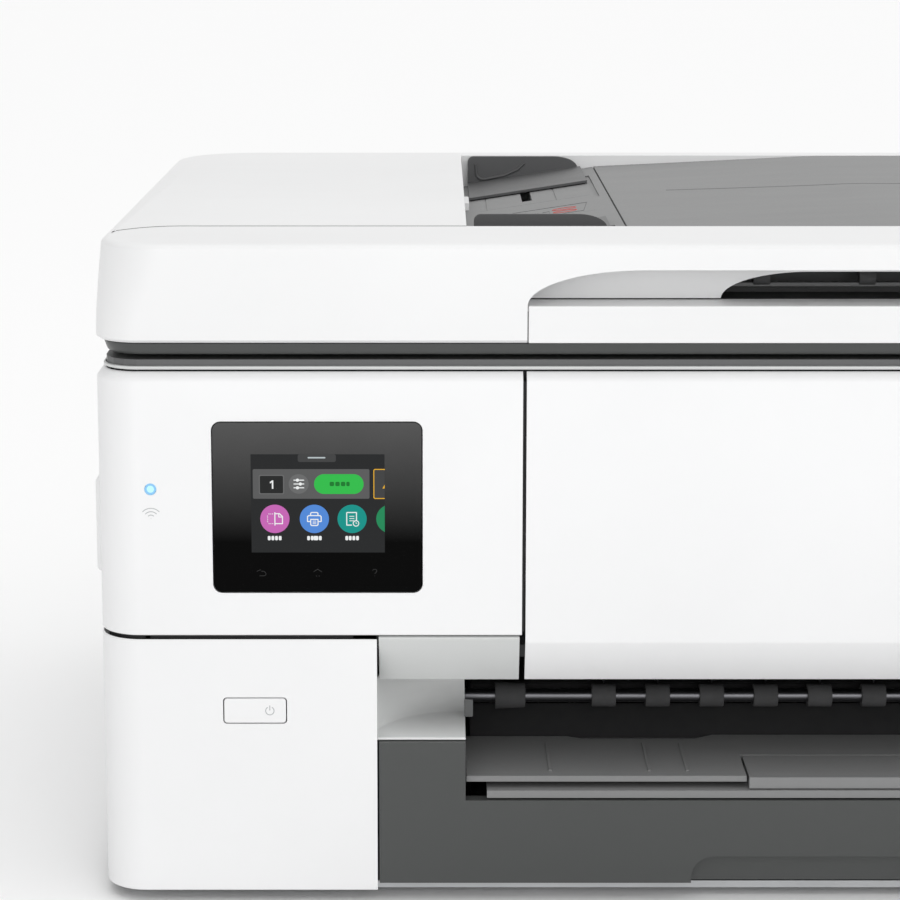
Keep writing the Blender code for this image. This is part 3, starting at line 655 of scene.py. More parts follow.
def makeScrews(name, spots, y):
    heads = []
    for x, z in spots:
        head = lathe("head", (x, y, z), "Y", [(3.1, -1.2), (3.1, 0.0), (2.5, 0.45), (0.0, 0.6)], 24)
        cross = [slab("cross", (x - a, y - 0.2, z - b), (x + a, y + 1.5, z + b))
                 for a, b in ((1.7, 0.32), (0.32, 1.7))]
        heads.append(cut(head, *cross))
    settle(gather(name, heads), "darkShaft")


def makeRearDoor():
    box = Place("rear_access_door")
    panel = prism("rearDoor", box.outline(1.8), "Y", box.front, box.back)
    grooves = []
    for i in range(int((box.high - box.low - 40) / rearLook["ribPitch"])):
        z = box.low + 16 + i * rearLook["ribPitch"]
        grooves.append(prism("groove", roundedBox(box.left + 22, z, box.right - 22, z + 2.4, 1.1, 4), "Y",
                             box.back - rearLook["ribDepth"], box.back + 3))
    finger = prism("finger", roundedBox(box.midX - 26, box.high - 15, box.midX + 26, box.high - 5, 4.5), "Y",
                   box.back - 1.6, box.back + 3)
    settle(cut(panel, finger, *grooves), "whitePlastic", "rear_access_door", "rear_access_door", edge=0.35)


def makeSockets():
    # the inlet keeps its CAD shape; the two data sockets get their metal shells and tongues
    back = rearCover.back
    dress("pitchPlastic", "power_inlet")
    shells, tongues = [], []
    for left, right, low, high in ((-199.2, -187.8, 28.8, 39.2), (-174.2, -158.8, 28.8, 41.2)):
        shell = slab("shell", (left, back - 17, low), (right, back - 0.4, high))
        mouth = slab("mouth", (left + 0.7, back - 15, low + 0.7), (right - 0.7, back + 2, high - 0.7))
        shells.append(cut(shell, mouth))
        midX, midZ = (left + right) / 2, (low + high) / 2
        tongues.append(slab("tongue", (midX - 3, back - 15.5, midZ - 1.4), (midX + 3, back - 4, midZ + 1.4)))
    settle(gather("socketShells", shells), "platedSheet", edge=0.2)
    settle(gather("socketTongues", tongues), "pitchPlastic", edge=0.2)
    plate = prism("ratingPlate", roundedBox(-120, 22, -62, 46, 1.5), "Y", back - 0.2, back + 0.15)
    settle(plate, "greyInk")
    lines = [slab("line", (-116, back + 0.1, 25 + i * 4.2), (-116 + length, back + 0.25, 26.4 + i * 4.2))
             for i, length in enumerate((44, 30, 48, 38, 22))]
    settle(gather("ratingLines", lines), "engraving")


doorLook = {"lip": 10.0, "lipTop": 113.0, "ribPitch": 40}


def makeFrontDoor():
    front, lip, top = casing["front"], doorLook["lip"], casing["top"]
    low, fold = door.low, doorLook["lipTop"]
    profile = [(front + lip + 0.5, low + 0.1), (front + lip - 0.2, low + 0.5), (front + 0.35, fold - 0.7),
               (front + 0.05, fold), (front, fold + 0.7)]
    profile += [(front + inset, height) for height, inset in topLevels(low)[2:]]
    rings = [[(door.left, y, z), (door.right, y, z)] for y, z in profile]
    panel = skin("frontDoor", rings, thickness=2.4)
    settle(panel, "whitePlastic", "front_door", "front_door", edge=0.35, sharp=40)
    inner = [slab("rib", (x, front + 2.3, fold + 8), (x + 1.6, front + 6.5, top - 12))
             for x in range(-90, 200, doorLook["ribPitch"])]  # stiffens the inside
    inner.append(slab("rail", (door.left + 12, front + 2.3, fold + 20),
                      (door.right - 12, front + 5.5, fold + 22)))
    settle(gather("frontDoorRibs", inner), "whitePlastic", "front_door", edge=0.3)


def makeSeamShadowStrips():
    # painted shadow: near-black strips just behind the covers, so that the gaps where two covers meet read as
    # black lines
    front, top, half, back = casing["front"], casing["top"], casing["half"], casing["sideSeam"]
    panel, lower = Place("control_panel_cover"), Place("lower_left_cover")
    midZ = (lower.high + panel.low) / 2
    spans = ((panel.right - 5, 117, door.left - 0.3, top - 4),
             (panel.right - 70, midZ - 5, panel.right - 2, midZ + 5),
             (-272, midZ - 5, panel.right - 66, midZ + 5),
             (lower.right - 6, 12, lower.right - 0.2, midZ + 3),
             (door.right + 2.2, 12, door.right + 6, top - 4))
    strips = [slab("strip", (left, front + 3.0, low), (right, front + 4.2, high))
              for left, low, right, high in spans]
    for side in (-1, 1):
        strips.append(coverSkin("strip", lambda inset: frontCornerPath(side * 270, side)(inset + 3.0), side,
                                [(midZ - 5, 0.0), (midZ + 5, 0.0)]))
        x0, x1 = sorted((side * (half - 3.0), side * (half - 4.2)))
        strips.append(slab("strip", (x0, back - 6, 9), (x1, back + 6, top - 3)))
    settle(gather("seamShadowStrips", strips), "pitchPlastic")


makePanelCover()
makeLowerLeftCover()
makeRightFrontCover()
makeSideCovers()
makeRearCover()
makeRearDoor()
makeSockets()
makeFrontDoor()
makeSeamShadowStrips()
print("casing made")


# output bay

bayLook = {"bowl": 13.0, "pull": 0.34}


def makeBay():
    front, trim, lip = casing["front"], Place("bay_trim"), doorLook["lip"]
    profile = [(front + lip + 0.6, trim.low), (front + lip - 0.3, trim.low + 0.5),
               (front + 0.5, trim.high - 1.6), (front + 0.1, trim.high - 0.9),
               (front + 0.6, trim.high - 0.2), (front + 3.0, trim.high)]
    rings = [[(trim.left, y, z), (trim.right, y, z)] for y, z in profile]
    # painted shade: the trim continues the door's white lip but is grey, standing in for shade on its
    # downward-facing slope
    settle(skin("bayTrim", rings, thickness=2.0), "shadedTrimPlastic", instead="bay_trim", edge=0.3, sharp=50)
    for hand, side in hands:
        node = "bay_" + hand + "_wall"
        box = Place(node)
        inner, outer = (box.right, box.left) if side < 0 else (box.left, box.right)
        sweep = arc(inner, box.front, abs(outer - inner), box.back - box.front, 180, 90, 28)
        plan = [(inner + abs(x - inner) * side, y) for x, y in sweep]
        levels = [(box.high, 1.0), (box.low + bayLook["bowl"], 1.0)]  # upright, then bowled into its floor
        for turn in (15, 30, 45, 60, 75, 90):
            drop, pull = math.sin(math.radians(turn)), 1 - math.cos(math.radians(turn))
            levels.append((box.low + 0.7 + (bayLook["bowl"] - 0.7) * (1 - drop), 1 - bayLook["pull"] * pull))
        path = plan if side < 0 else plan[::-1]
        rings = [[(x, box.front + (y - box.front) * size, z) for x, y in path] for z, size in levels[::-1]]
        # painted light: walls and ledges get the paler white, standing in for light that the shadowed bay does
        # not receive
        settle(skin("bayWall_" + hand, rings, thickness=1.0), "bayPlasticPaintedLight", instead=node, sharp=50)
        ledge = prism("bayLedge_" + hand, plan + [(inner, box.front)], "Z", box.low - 0.2, box.low + 0.8)
        settle(ledge, "bayPlasticPaintedLight", edge=0.2)


tyreLook = {"first": -77.9, "pitch": 23.7, "count": 11, "endTyre": -118.9}


def tyrePlaces():
    return [tyreLook["first"] + tyreLook["pitch"] * i for i in range(tyreLook["count"])]


def makeExitRoller():
    box = Place("exit_roller")
    y, z, length = box.midY, box.midZ, box.right - box.left
    shaftProfile = [(2.6, 0), (3.0, 0.5), (3.0, length - 0.5), (2.6, length)]
    shaft = lathe("exitShaft", (box.left, y, z), "X", shaftProfile)
    settle(shaft, "darkShaft", "exit_roller", "exit_roller")
    endProfile = [(3.0, -6.6), (5.8, -6.6), (6.0, -6.2), (5.4, 6.0), (5.1, 6.6), (3.0, 6.6)]
    profile = [(3.0, -5.25), (4.8, -5.25), (5.0, -4.9), (5.0, 4.9), (4.8, 5.25), (3.0, 5.25)]
    tyres = [lathe("tyre", (tyreLook["endTyre"], y, z), "X", endProfile)]
    tyres += [lathe("tyre", (x, y, z), "X", profile) for x in tyrePlaces()]
    settle(gather("exitTyres", tyres), "rubber", "exit_roller")


deckLook = {"ribs": (-104, -62, -46, 66, 88, 110, 132, 154), "ribWide": 1.4}


def makeDeck():
    box, wide = Place("output_deck"), deckLook["ribWide"]
    ribs = [slab("rib", (x, box.front + 6, box.high - 0.2), (x + wide, box.back - 12, box.high + 0.5))
            for x in deckLook["ribs"]]
    settle(gather("deckRibs", ribs), "deckPlastic", edge=0.2)
    slope = [(-140.4, 51.0), (-140.4, 52.6), (-128.6, 64.6), (-128.6, 63.0)]
    guide = prism("pathPlate", slope, "X", -136.5, 168.5)  # leads each sheet up from behind the deck
    settle(guide, "pitchPlastic", edge=0.2)


def makeBracket():
    # sheet-metal end plate, and the bar that holds star wheels over the exit rollers
    left = Place("bay_left_wall").right
    plate = prism("endPlate", roundedBox(left - 0.4, 71.6, left + 3.4, 79.4, 0.6), "Y", -170, -168.6)
    bar = slab("guideBar", (-132, -133, 87), (168, -131, 93))
    stars = [lathe("star", (x, -139, 80.6), "X", [(0.6, -0.4), (3.4, -0.2), (3.4, 0.2), (0.6, 0.4)], 18)
             for x in tyrePlaces()]
    settle(plate, "bezelPlastic", edge=0.2)
    settle(bar, "innerPlastic", edge=0.4)
    settle(gather("starWheels", stars), "darkShaft")


makeBay()
makeExitRoller()
makeDeck()
makeBracket()
dress("deckPlastic", "output_deck", "output_extension", "paper_stop")
dress("skirtPlastic", "cassette")
dress("pitchPlastic", "print_platen", "service_station")
dress("rubber", "feed_roller", "feeder_roller", "pick_roller", "foot_front_left", "foot_front_right",
      "foot_back_left", "foot_back_right")
dress("platedSheet", "chassis", "lid_hinge_left", "lid_hinge_right", "carriage_motor")
dress("brushedSteel", "carriage_rod", "scan_rod")
dress("innerPlastic", "carriage", "power_supply", "display_module", "scanner_tub", "scan_bar",
      "width_guide_left", "width_guide_right", "length_guide")
dress("innerPlastic", *("cartridge_" + inkName for inkName in inkLooks))
dress("circuitBoard", "main_board")
dress("clearPane", "scanner_glass")


def makeCartridgeLabels():
    # each ink tank has a coloured front label with paler bars, and a thumb rest at its top
    for inkName in inkLooks:
        tank = "cartridge_" + inkName
        box = Place(tank)
        front = box.front
        outline = roundedBox(box.left + 2, box.low + 16, box.right - 2, box.high - 14, 1.5)
        label = prism("tankLabel_" + inkName, outline, "Y", front - 0.25, front + 0.3)
        settle(label, "label_" + inkName, tank)
        bars = [slab("bar", (box.left + 5, front - 0.4, z), (box.right - 5, front, z + high))
                for z, high in ((box.high - 24, 3.0), (box.high - 30, 1.6))]
        settle(gather("tankBars_" + inkName, bars), "whiteInk", tank)
        outline = roundedBox(box.left + 4, box.high - 9, box.right - 4, box.high - 3, 1.4)
        grip = prism("tankGrip_" + inkName, outline, "Y", front - 1.2, front + 0.3)
        settle(grip, "innerPlastic", tank, edge=0.4)


makeCartridgeLabels()
print("paper path made")

# control panel

face = display["glass"].front  # the outer face of the display


def makeDisplay():
    glass = display["glass"]
    pane = prism("displayPane", glass.outline(display["corner"], 10), "Y", glass.front, glass.back)
    settle(pane, "displayGloss", instead="display_glass", edge=0.5, steps=4)


screen = {"left": -227.2, "right": -172.4, "low": 151.6, "high": 192.9, "step": 0.03, "circle": 6.0,
          "circleZ": 165.8, "pen": 0.42, "marksZ": 143.0, "markPen": 0.16}


def screenPatch(name, points, finish, layer):
    # a lit shape on the display, one thin layer in front of the last
    settle(prism(name, points, "Y", face - screen["step"] * layer, face + 0.05), finish)


def disc(x, z, radius):
    return arc(x, z, radius, radius, 0, 360 - 9, 39)


def stroke(name, points, width=screen["pen"], finish="screenWhite", layer=4, closed=False):
    # a line drawn on the display as a thin ribbon
    front = face - screen["step"] * layer
    ribbon = []
    ends = points[1:] + points[:1] if closed else points[1:]
    for (x0, z0), (x1, z1) in zip(points, ends):
        length = math.hypot(x1 - x0, z1 - z0)
        sideX, sideZ = -(z1 - z0) / length * width / 2, (x1 - x0) / length * width / 2
        dash = [(x0 + sideX, z0 + sideZ), (x1 + sideX, z1 + sideZ), (x1 - sideX, z1 - sideZ),
                (x0 - sideX, z0 - sideZ)]
        dot = arc(x1, z1, width / 2, width / 2, 0, 315, 7)
        ribbon.append(prism("dash", dash, "Y", front, face + 0.02))
        ribbon.append(prism("dot", dot, "Y", front - 0.002, face + 0.02))
    settle(gather(name, ribbon), finish)


def shifted(x, z, path):
    return [(x + dx, z + dz) for dx, dz in path]


def makeScreen():
    left, right, low, high = screen["left"], screen["right"], screen["low"], screen["high"]
    screenPatch("screenGround", [(left, low), (right, low), (right, high), (left, high)], "screenGround", 1)
    for name, box, finish, layer in (("Tab", (-207.9, 189.7, -192.3, high, 0.8), "screenTab", 2),
                                     ("TabLine", (-203.8, 191.2, -196.6, 191.8, 0.25), "screenSilver", 3),
                                     ("Card", (-226.4, 174.3, -178.6, 186.7, 0.6), "screenCard", 2),
                                     ("NumberRim", (-223.9, 176.2, -213.6, 184.3, 0.7), "screenChip", 3),
                                     ("NumberBox", (-223.5, 176.6, -214.0, 183.9, 0.5), "screenBox", 4)):
        screenPatch("screen" + name, roundedBox(*box), finish, layer)
    digit = [(-218.6, 178.5), (-218.6, 181.2), (-219.4, 180.7), (-219.4, 181.3), (-218.5, 182.0),
             (-218.0, 182.0), (-218.0, 178.5)]
    screenPatch("screenDigit", digit, "screenWhite", 5)
    screenPatch("screenSettings", disc(-207.6, 180.5, 4.1), "screenChip", 3)
    for i, knob in enumerate((-208.1, -206.9, -208.1)):
        z = 182.1 - i * 1.6
        stroke("screenSlider_" + str(i), [(-209.7, z), (-205.5, z)], 0.4, layer=5)
        screenPatch("screenKnob_" + str(i), disc(knob, z, 0.65), "screenWhite", 6)
    screenPatch("screenPill", roundedBox(-201.3, 176.3, -181.0, 184.6, 4.1, 12), "screenGreen", 3)
    for i, (start, end) in enumerate(((-194.9, -193.1), (-192.6, -190.8), (-190.3, -188.5), (-188.1, -186.7))):
        screenPatch("screenPillWord_" + str(i), roundedBox(start, 179.6, end, 181.4, 0.5), "screenWord", 4)
    nextCard = [(-176.7, 174.6), (right, 174.6), (right, 186.4), (-176.7, 186.4)]
    screenPatch("screenNextCard", nextCard, "screenTab", 2)
    nextRim = [(right, 174.4), (-176.4, 174.4), (-176.8, 174.8), (-176.8, 186.2), (-176.4, 186.6),
               (right, 186.6)]
    stroke("screenNextRim", nextRim, 0.36, "screenYellow")
    screenPatch("screenNextMark", [(-173.3, 178.6), (right, 178.6), (right, 180.2)], "screenYellow", 4)
    for name, x in (("Pink", -217.5), ("Blue", -201.3), ("Teal", -185.8), ("Forest", -169.9)):
        circle = [(min(u, right), v) for u, v in disc(x, screen["circleZ"], screen["circle"])]
        screenPatch("screenCircle" + name, circle, "screen" + name, 2)
    labels = ((-217.5, (-3.0, -1.5, 0.0, 1.5)), (-201.3, (-3.0, -1.5, -0.3, 0.4, 1.8)),
              (-185.7, (-2.9, -1.5, 0.0, 1.5)))  # each word is a row of short bars
    for i, (middle, spans) in enumerate(labels):
        words = [prism("word", roundedBox(middle + start, 156.8, middle + start + 1.15, 158.6, 0.4, 3), "Y",
                       face - 0.12, face + 0.02) for start in spans]
        settle(gather("screenLabel_" + str(i), words), "screenWhite")


def iconRows(name, x, z, left, right, pitch, width):
    for i in range(3):
        stroke(name + str(i), shifted(x, z, ((left, -i * pitch), (right, -i * pitch))), width)


def makeScreenIcons():
    z, pen = screen["circleZ"], screen["pen"]
    x = -217.5  # page half dotted, half drawn
    stroke("iconPage", shifted(x, z, ((0, 2.2), (1.9, 2.2), (3.1, 1.0), (3.1, -2.0), (0, -2.0))))
    stroke("iconPageFold", shifted(x, z, ((1.6, 2.1), (1.6, 0.8), (2.9, 0.8))), pen * 0.8)
    stroke("iconPageBar", shifted(x, z, ((0, 2.8), (0, -2.6))))
    dots = shifted(x, z, [(-0.9 - i * 0.75, side) for i in range(3) for side in (2.1, -2.0)])
    dots += shifted(x, z, [(-3.0, 1.2 - i * 0.8) for i in range(4)])
    dotPieces = [prism("dot", disc(u, v, 0.19), "Y", face - 0.12, face + 0.02) for u, v in dots]
    settle(gather("iconPageDots", dotPieces), "screenWhite")
    x = -201.3  # small printer
    stroke("iconPrinterBody", shifted(x, z, ((-1.7, -1.1), (-2.8, -1.1), (-2.8, 1.0), (-2.3, 1.4), (2.3, 1.4),
                                             (2.8, 1.0), (2.8, -1.1), (1.7, -1.1))))
    stroke("iconPrinterTop", shifted(x, z, ((-1.5, 1.5), (-1.5, 2.4), (-1.1, 2.7), (1.1, 2.7), (1.5, 2.4),
                                            (1.5, 1.5))))
    stroke("iconPrinterSheet", shifted(x, z, ((-1.5, -0.2), (1.5, -0.2), (1.5, -2.4), (1.1, -2.8), (-1.1, -2.8),
                                              (-1.5, -2.4))), closed=True)
    iconRows("iconPrinterLine_", x, z - 0.9, -0.7, 0.7, 0.55, 0.22)
    x = -185.9  # list with a clock
    stroke("iconList", shifted(x, z, ((-2.1, 2.7), (1.9, 2.7), (1.9, -0.6))))
    stroke("iconListEdge", shifted(x, z, ((-2.1, 2.7), (-2.1, -2.6), (-0.1, -2.6))))
    iconRows("iconListLine_", x, z + 1.1, -1.0, 0.9, 0.95, 0.26)
    stroke("iconClock", arc(x + 1.7, z - 1.9, 1.15, 1.15, 0, 342, 19), 0.34, layer=5, closed=True)
    stroke("iconClockHand", shifted(x, z, ((1.7, -1.3), (1.7, -1.9), (2.1, -1.9))), 0.2, layer=5)


def makeTouchMarks():
    # back, home and help marks under the screen
    tail = [(-223.4, 0.7), (-222.2, 0.6), (-221.5, -0.1), *arc(-222.3, -0.5, 0.9, 0.8, 0, -90, 5),
            (-224.0, -1.3)]
    pen = screen["markPen"]
    for name, path, width in (("Back", [(-225.2, 0.6), (-223.6, 1.3)], pen), ("BackTail", tail, pen),
                              ("Home", [(-201.8, 0.4), (-200.1, 1.5), (-198.4, 0.4)], pen),
                              ("HomeFoot", [(-200.8, -1.4), (-200.5, -1.4)], 0.2),
                              ("HomeFootRight", [(-199.7, -1.4), (-199.4, -1.4)], 0.2),
                              ("Help", [*arc(-176.6, 0.8, 0.9, 0.7, 170, -40, 8), (-176.6, -0.4)], pen),
                              ("HelpDot", [(-176.65, -1.3), (-176.55, -1.3)], 0.22)):
        stroke("mark" + name, shifted(0, screen["marksZ"], path), width, "touchMark", 1)


def makeStatusLight():
    centre = (lamp["at"].midX, casing["front"], lamp["at"].midZ)
    core = lathe("lampCore", centre, "Y", [(1.45, 3.0), (1.45, 0.5), (1.2, 0.2), (0.0, 0.1)], 28)
    ring = lathe("lampRing", centre, "Y", [(2.35, 3.0), (2.35, 0.55), (2.1, 0.3), (1.5, 0.35), (1.5, 3.0)], 28)
    settle(core, "lampCore", instead="status_light")
    settle(ring, "lampRing")


def frontStroke(name, points, width, y, body):
    # a shallow raised grey line on a front face
    line = wire(name, [(x, y, z) for x, z in points], width / 2, flat=y)
    settle(line, "greyInk", body, sharp=60)


wireless = {"x": -268.4, "z": 165.9, "radii": (1.5, 3.0, 4.5)}
powerMark = {"x": -220.5, "radius": 1.75, "width": 0.4}


def makeMarks():
    x, z, front = wireless["x"], wireless["z"], casing["front"] - 0.02
    for i, radius in enumerate(wireless["radii"]):
        curve = arc(x, z, radius, radius * 0.95, 140, 40, 14)
        frontStroke("wirelessArc_" + str(i), curve, 0.38, front, "printer_body")
    dot = [(x - 0.05, z), (x + 0.05, z)]
    frontStroke("wirelessDot", dot, 0.7, front, "printer_body")
    key = button["at"]
    keyPiece = prism("powerKey", key.outline(1.3), "Y", key.front, key.back)
    settle(keyPiece, "whitePlastic", "power_button", "power_button", edge=0.4, steps=4)
    x, z, radius = powerMark["x"], key.midZ, powerMark["radius"]
    for name, curve in (("powerRing", arc(x, z, radius, radius, 120, 420, 22)),
                        ("powerStem", [(x, z + 0.2), (x, z + 2.3)])):
        frontStroke(name, curve, powerMark["width"], key.front - 0.02, "power_button")
    pocket = slab("keyPocket", (key.left - 3, key.back + 2.4, key.low - 3),
                  (key.right + 3, key.back + 3.4, key.high + 3))
    settle(pocket, "pitchPlastic")


makeDisplay()
makeScreen()
makeScreenIcons()
makeTouchMarks()
makeStatusLight()
makeMarks()
print("control panel made")

# lid and document feeder

feederCover, flap = Place("feeder_cover"), Place("input_flap")
tray, panel = Place("input_tray"), Place("lid_front_panel")
lidLook = {"backCorner": 42.0, "topInset": 4.2, "gap": 0.4, "wellLeft": feederCover.right + 0.4,
           "wellRight": flap.right + 0.6, "wellFront": flap.front - 0.4, "wellBack": flap.back + 0.4,
           "scoopRise": 14.6, "scoopArc": 47.5, "scoopDepth": 22.0, "seamSweep": 24.0}


def lidLevels():
    # (height, inset, front corner radius): the corner opens out as it climbs, and the top edge rounds over
    low, high, slope = lid.low, lid.high, lidLook["topInset"]
    levels = [(low, 1.5, 17.0), (low + 0.5, 0.8, 17.4), (low + 1.2, 0.0, 18.0)]
    for i in range(1, 9):
        share = i / 8
        ease = share * share * (3 - 2 * share)
        levels.append((low + 1.2 + (high - low - 3.4) * share, 1.5 * share * share, 18.0 + 9.0 * ease))
    for i in range(1, 8):
        turn = math.radians(90 * i / 7)
        inset = 1.5 + (slope - 1.5) * (1 - math.cos(turn))
        levels.append((high - 2.2 + 2.2 * math.sin(turn), inset, 27.0 + i / 7))
    return levels


def feederPlan(left, right, front, back, corner):
    # the feeder cover's outline: its front seam runs straight, then sweeps forward at the left
    sweep, start = lidLook["seamSweep"], lid.left
    plan = [(right, front), (right, back)] + arc(left + corner, back - corner, corner, corner, 90, 180, 16)
    plan.append((left, front - sweep))
    for i in range(2, 13):
        share = i / 12
        plan.append((start + 34 * share, front - sweep * (1 - share) ** 2.4))
    return plan


def scoopOutline(grow=0.0):
    rise, reach = lidLook["scoopRise"] + grow, lidLook["scoopArc"] + grow
    left, right, low = panel.left - 0.4 - grow, panel.right + 0.4 + grow, panel.high
    return arc(right - reach, low, reach, rise, 0, 90, 20) + arc(left + reach, low, reach, rise, 90, 180, 20)


def makeLidShell():
    front = lid.front
    rings = []
    for height, inset, corner in lidLevels():
        plan = roundedPlan(lid.left + inset, front + inset, lid.right - inset, lid.back - inset, corner,
                           lidLook["backCorner"] - inset, 16)
        rings.append([(x, y, height) for x, y in plan])
    shell = skin("lidShell", rings, closed=True, capped=True, thickness=1.7)
    left, right, near, far = (lidLook["well" + side] for side in ("Left", "Right", "Front", "Back"))
    unite(shell, slab("wellRim", (left - 2.5, near - 2.5, 258), (right + 2.5, far + 2.5, lid.high - 1)))
    well = prism("well", roundedBox(left, near, right, far, 1.0, 3), "Z", 250, 290)
    seat = prism("seat", feederPlan(-300, left + 0.01, near, 210, 20), "Z", 270, 290)
    foot = [(panel.left - 0.4, 230), (panel.right + 0.4, 230)]
    cut(shell, well, seat, prism("scoop", foot + scoopOutline(), "Y", front - 5, front + 12))
    settle(shell, "lidPlastic", "scan_lid", "lid_shell", edge=0.45, sharp=35)


def makeFeederCover():
    rings = []
    inset, high = 1.5, lid.high
    for height, more in ((270.4, 0.0), (high - 2.2, 0.0), (high - 1.4, 0.25), (high - 0.7, 0.9),
                         (high - 0.2, 1.9), (high, 2.8)):
        plan = feederPlan(lid.left + inset + more, feederCover.right, lidLook["wellFront"] + lidLook["gap"],
                          lid.back - inset - more, lidLook["backCorner"] - inset - more)
        rings.append([(x, y, height) for x, y in plan])
    cover = skin("feederCover", rings, closed=True, capped=True, thickness=1.5, even=False)
    settle(cover, "lidPlastic", "feeder_cover", "feeder_cover", edge=0.35, sharp=35)


def makeCoverGasket():
    # the fine grey line where the feeder cover meets the lid's rim
    plan = feederPlan(lid.left + 1.6, feederCover.right, lidLook["wellFront"] + lidLook["gap"] / 2, 100, 10)
    path = [(x, y, lid.high - 0.1) for x, y in plan[len(plan) - 11:] + plan[:1]]
    settle(wire("coverGasket", path, 0.3), "bezelPlastic", "scan_lid")


def makeFrontPanel():
    plate = slab("lidFrontPanel", (panel.left, lid.front, panel.low),
                 (panel.right, lid.front + 2.5, panel.high))
    settle(plate, "lidPlastic", "scan_lid", "lid_front_panel", edge=0.5, steps=4)


mouthLook = {"left": -33.7, "right": 168.0, "arc": 37.0, "rise": 11.2, "deep": 26.0, "wheelPitch": 44}


def makeScoop():
    # the hollow behind the scoop is a pale liner with a dark mouth where sheets come out
    chute, front = Place("output_chute"), lid.front
    floorZ, wallY = panel.high - 0.6, front + lidLook["scoopDepth"]
    rise, reach = mouthLook["rise"], mouthLook["arc"]
    left, right, deep = mouthLook["left"], mouthLook["right"], wallY + mouthLook["deep"]
    mouthPlan = arc(right - reach, floorZ + 0.4, reach, rise, 0, 90, 16)
    mouthPlan += arc(left + reach, floorZ + 0.4, reach, rise, 90, 180, 16)
    behind = cut(prism("scoopBack", scoopOutline(1.2), "Y", wallY, wallY + 1.6),
                 prism("mouth", mouthPlan, "Y", wallY - 5, wallY + 8))
    arch = scoopOutline(0.1)[::-1]
    rings = [[(x, y, z) for x, z in arch] for y in (front + 1.9, wallY + 0.5)]
    soffit = skin("scoopSoffit", rings, thickness=-1.2)
    base = slab("scoopBase", (chute.left, front + 2.7, floorZ - 2.0), (chute.right, wallY + 1.6, floorZ))
    settle(gather("scoopLiner", [behind, soffit, base]), "lidPlastic", "scan_lid", "output_chute", sharp=40)
    throat = slab("mouthThroat", (left - 4, wallY + 2.1, floorZ - 2), (right + 4, deep, floorZ + 17.2))
    inside = slab("inside", (left - 2.6, wallY - 4, floorZ - 0.6), (right + 2.6, deep - 1.6, floorZ + 15.6))
    settle(cut(throat, inside), "innerPlastic", "scan_lid", edge=0.3)
    ledge = slab("mouthLedge", (left + 3, wallY + 8, floorZ + 4.1), (right - 3, wallY + 11, floorZ + 6.0))
    settle(ledge, "bezelPlastic", "scan_lid", edge=0.4)
    profile = [(1.2, -3.4), (3.2, -3.4), (3.4, -3.0), (3.4, 3.0), (3.2, 3.4), (1.2, 3.4)]
    wheels = [lathe("wheel", (x, wallY + 9, floorZ + 8.2), "X", profile, 28)
              for x in range(-16, 160, mouthLook["wheelPitch"])]
    settle(gather("mouthWheels", wheels), "rubber", "scan_lid")


rimLook = {"lipLow": 227.5, "lipHigh": 228.7}


def bodyRings(levels, back, backCorner):
    # rings round the whole machine, from (height, inset) pairs
    half, front = casing["half"], casing["front"]
    rings = []
    for height, inset in levels:
        plan = roundedPlan(-half + inset, front + inset, half - inset, back, 15, backCorner, 14)
        rings.append([(x, y, height) for x, y in plan])
    return rings


def makeSkirtAndBezel():
    skirt, bezel, pad = Place("lid_skirt"), Place("scanner_bezel"), Place("platen_pad")
    low, high = skirt.low, skirt.high
    levels = [(low, 5.2), (low + 0.8, 4.4), (low + 2.0, 4.0), (high - 0.4, 3.2), (high, 3.2)]
    band = skin("lidSkirt", bodyRings(levels, skirt.back, 7), closed=True, capped=True, thickness=2.6)
    pocket = slab("padPocket", (pad.left - 0.5, pad.front - 0.5, 230), (pad.right + 0.5, pad.back + 0.5, 250))
    settle(cut(band, pocket), "skirtPlastic", "scan_lid", "lid_skirt", edge=0.3, sharp=40)
    under = slab("lidUnderside", (-280, -188, high - 0.4), (280, skirt.back - 4, high))
    settle(under, "skirtPlastic", "scan_lid")
    dress("bezelPlastic", "scanner_bezel")
    low, high = rimLook["lipLow"], rimLook["lipHigh"]
    levels = [(low, 3.2), (low + 0.4, 2.9), (high, 2.9), (high + 0.2, 3.6)]
    lip = skin("bezelLip", bodyRings(levels, bezel.back + 0.4, 17), closed=True, thickness=0.9)
    # the lip takes the same grey as the bay trim
    settle(lip, "shadedTrimPlastic", sharp=40)
    foam = slab("foamPad", (pad.left, pad.front, pad.low), (pad.right, pad.back, pad.high))
    settle(foam, "foamPad", "scan_lid", "platen_pad", edge=1.2)


trayLook = {"lowZ": 262.0, "highZ": 273.0, "leftX": -138.0, "rightX": -66.5, "thick": 3.0, "slotX": -106.0,
            "slotHalf": 2.5, "groove": (-73.6, -71.2)}


def trayZ(x):
    share = (x - trayLook["leftX"]) / (trayLook["rightX"] - trayLook["leftX"])
    return trayLook["lowZ"] + (trayLook["highZ"] - trayLook["lowZ"]) * share


def onTray(points):
    return [(x, y, trayZ(x) + 0.03) for x, y in points]


def trayCutter(name, left, right, depth, front, back):
    # a tool that sinks to the same depth all along the sloping tray
    outline = [(left, trayZ(left) - depth), (right, trayZ(right) - depth), (right, 290), (left, 290)]
    return prism(name, outline, "Y", front, back)


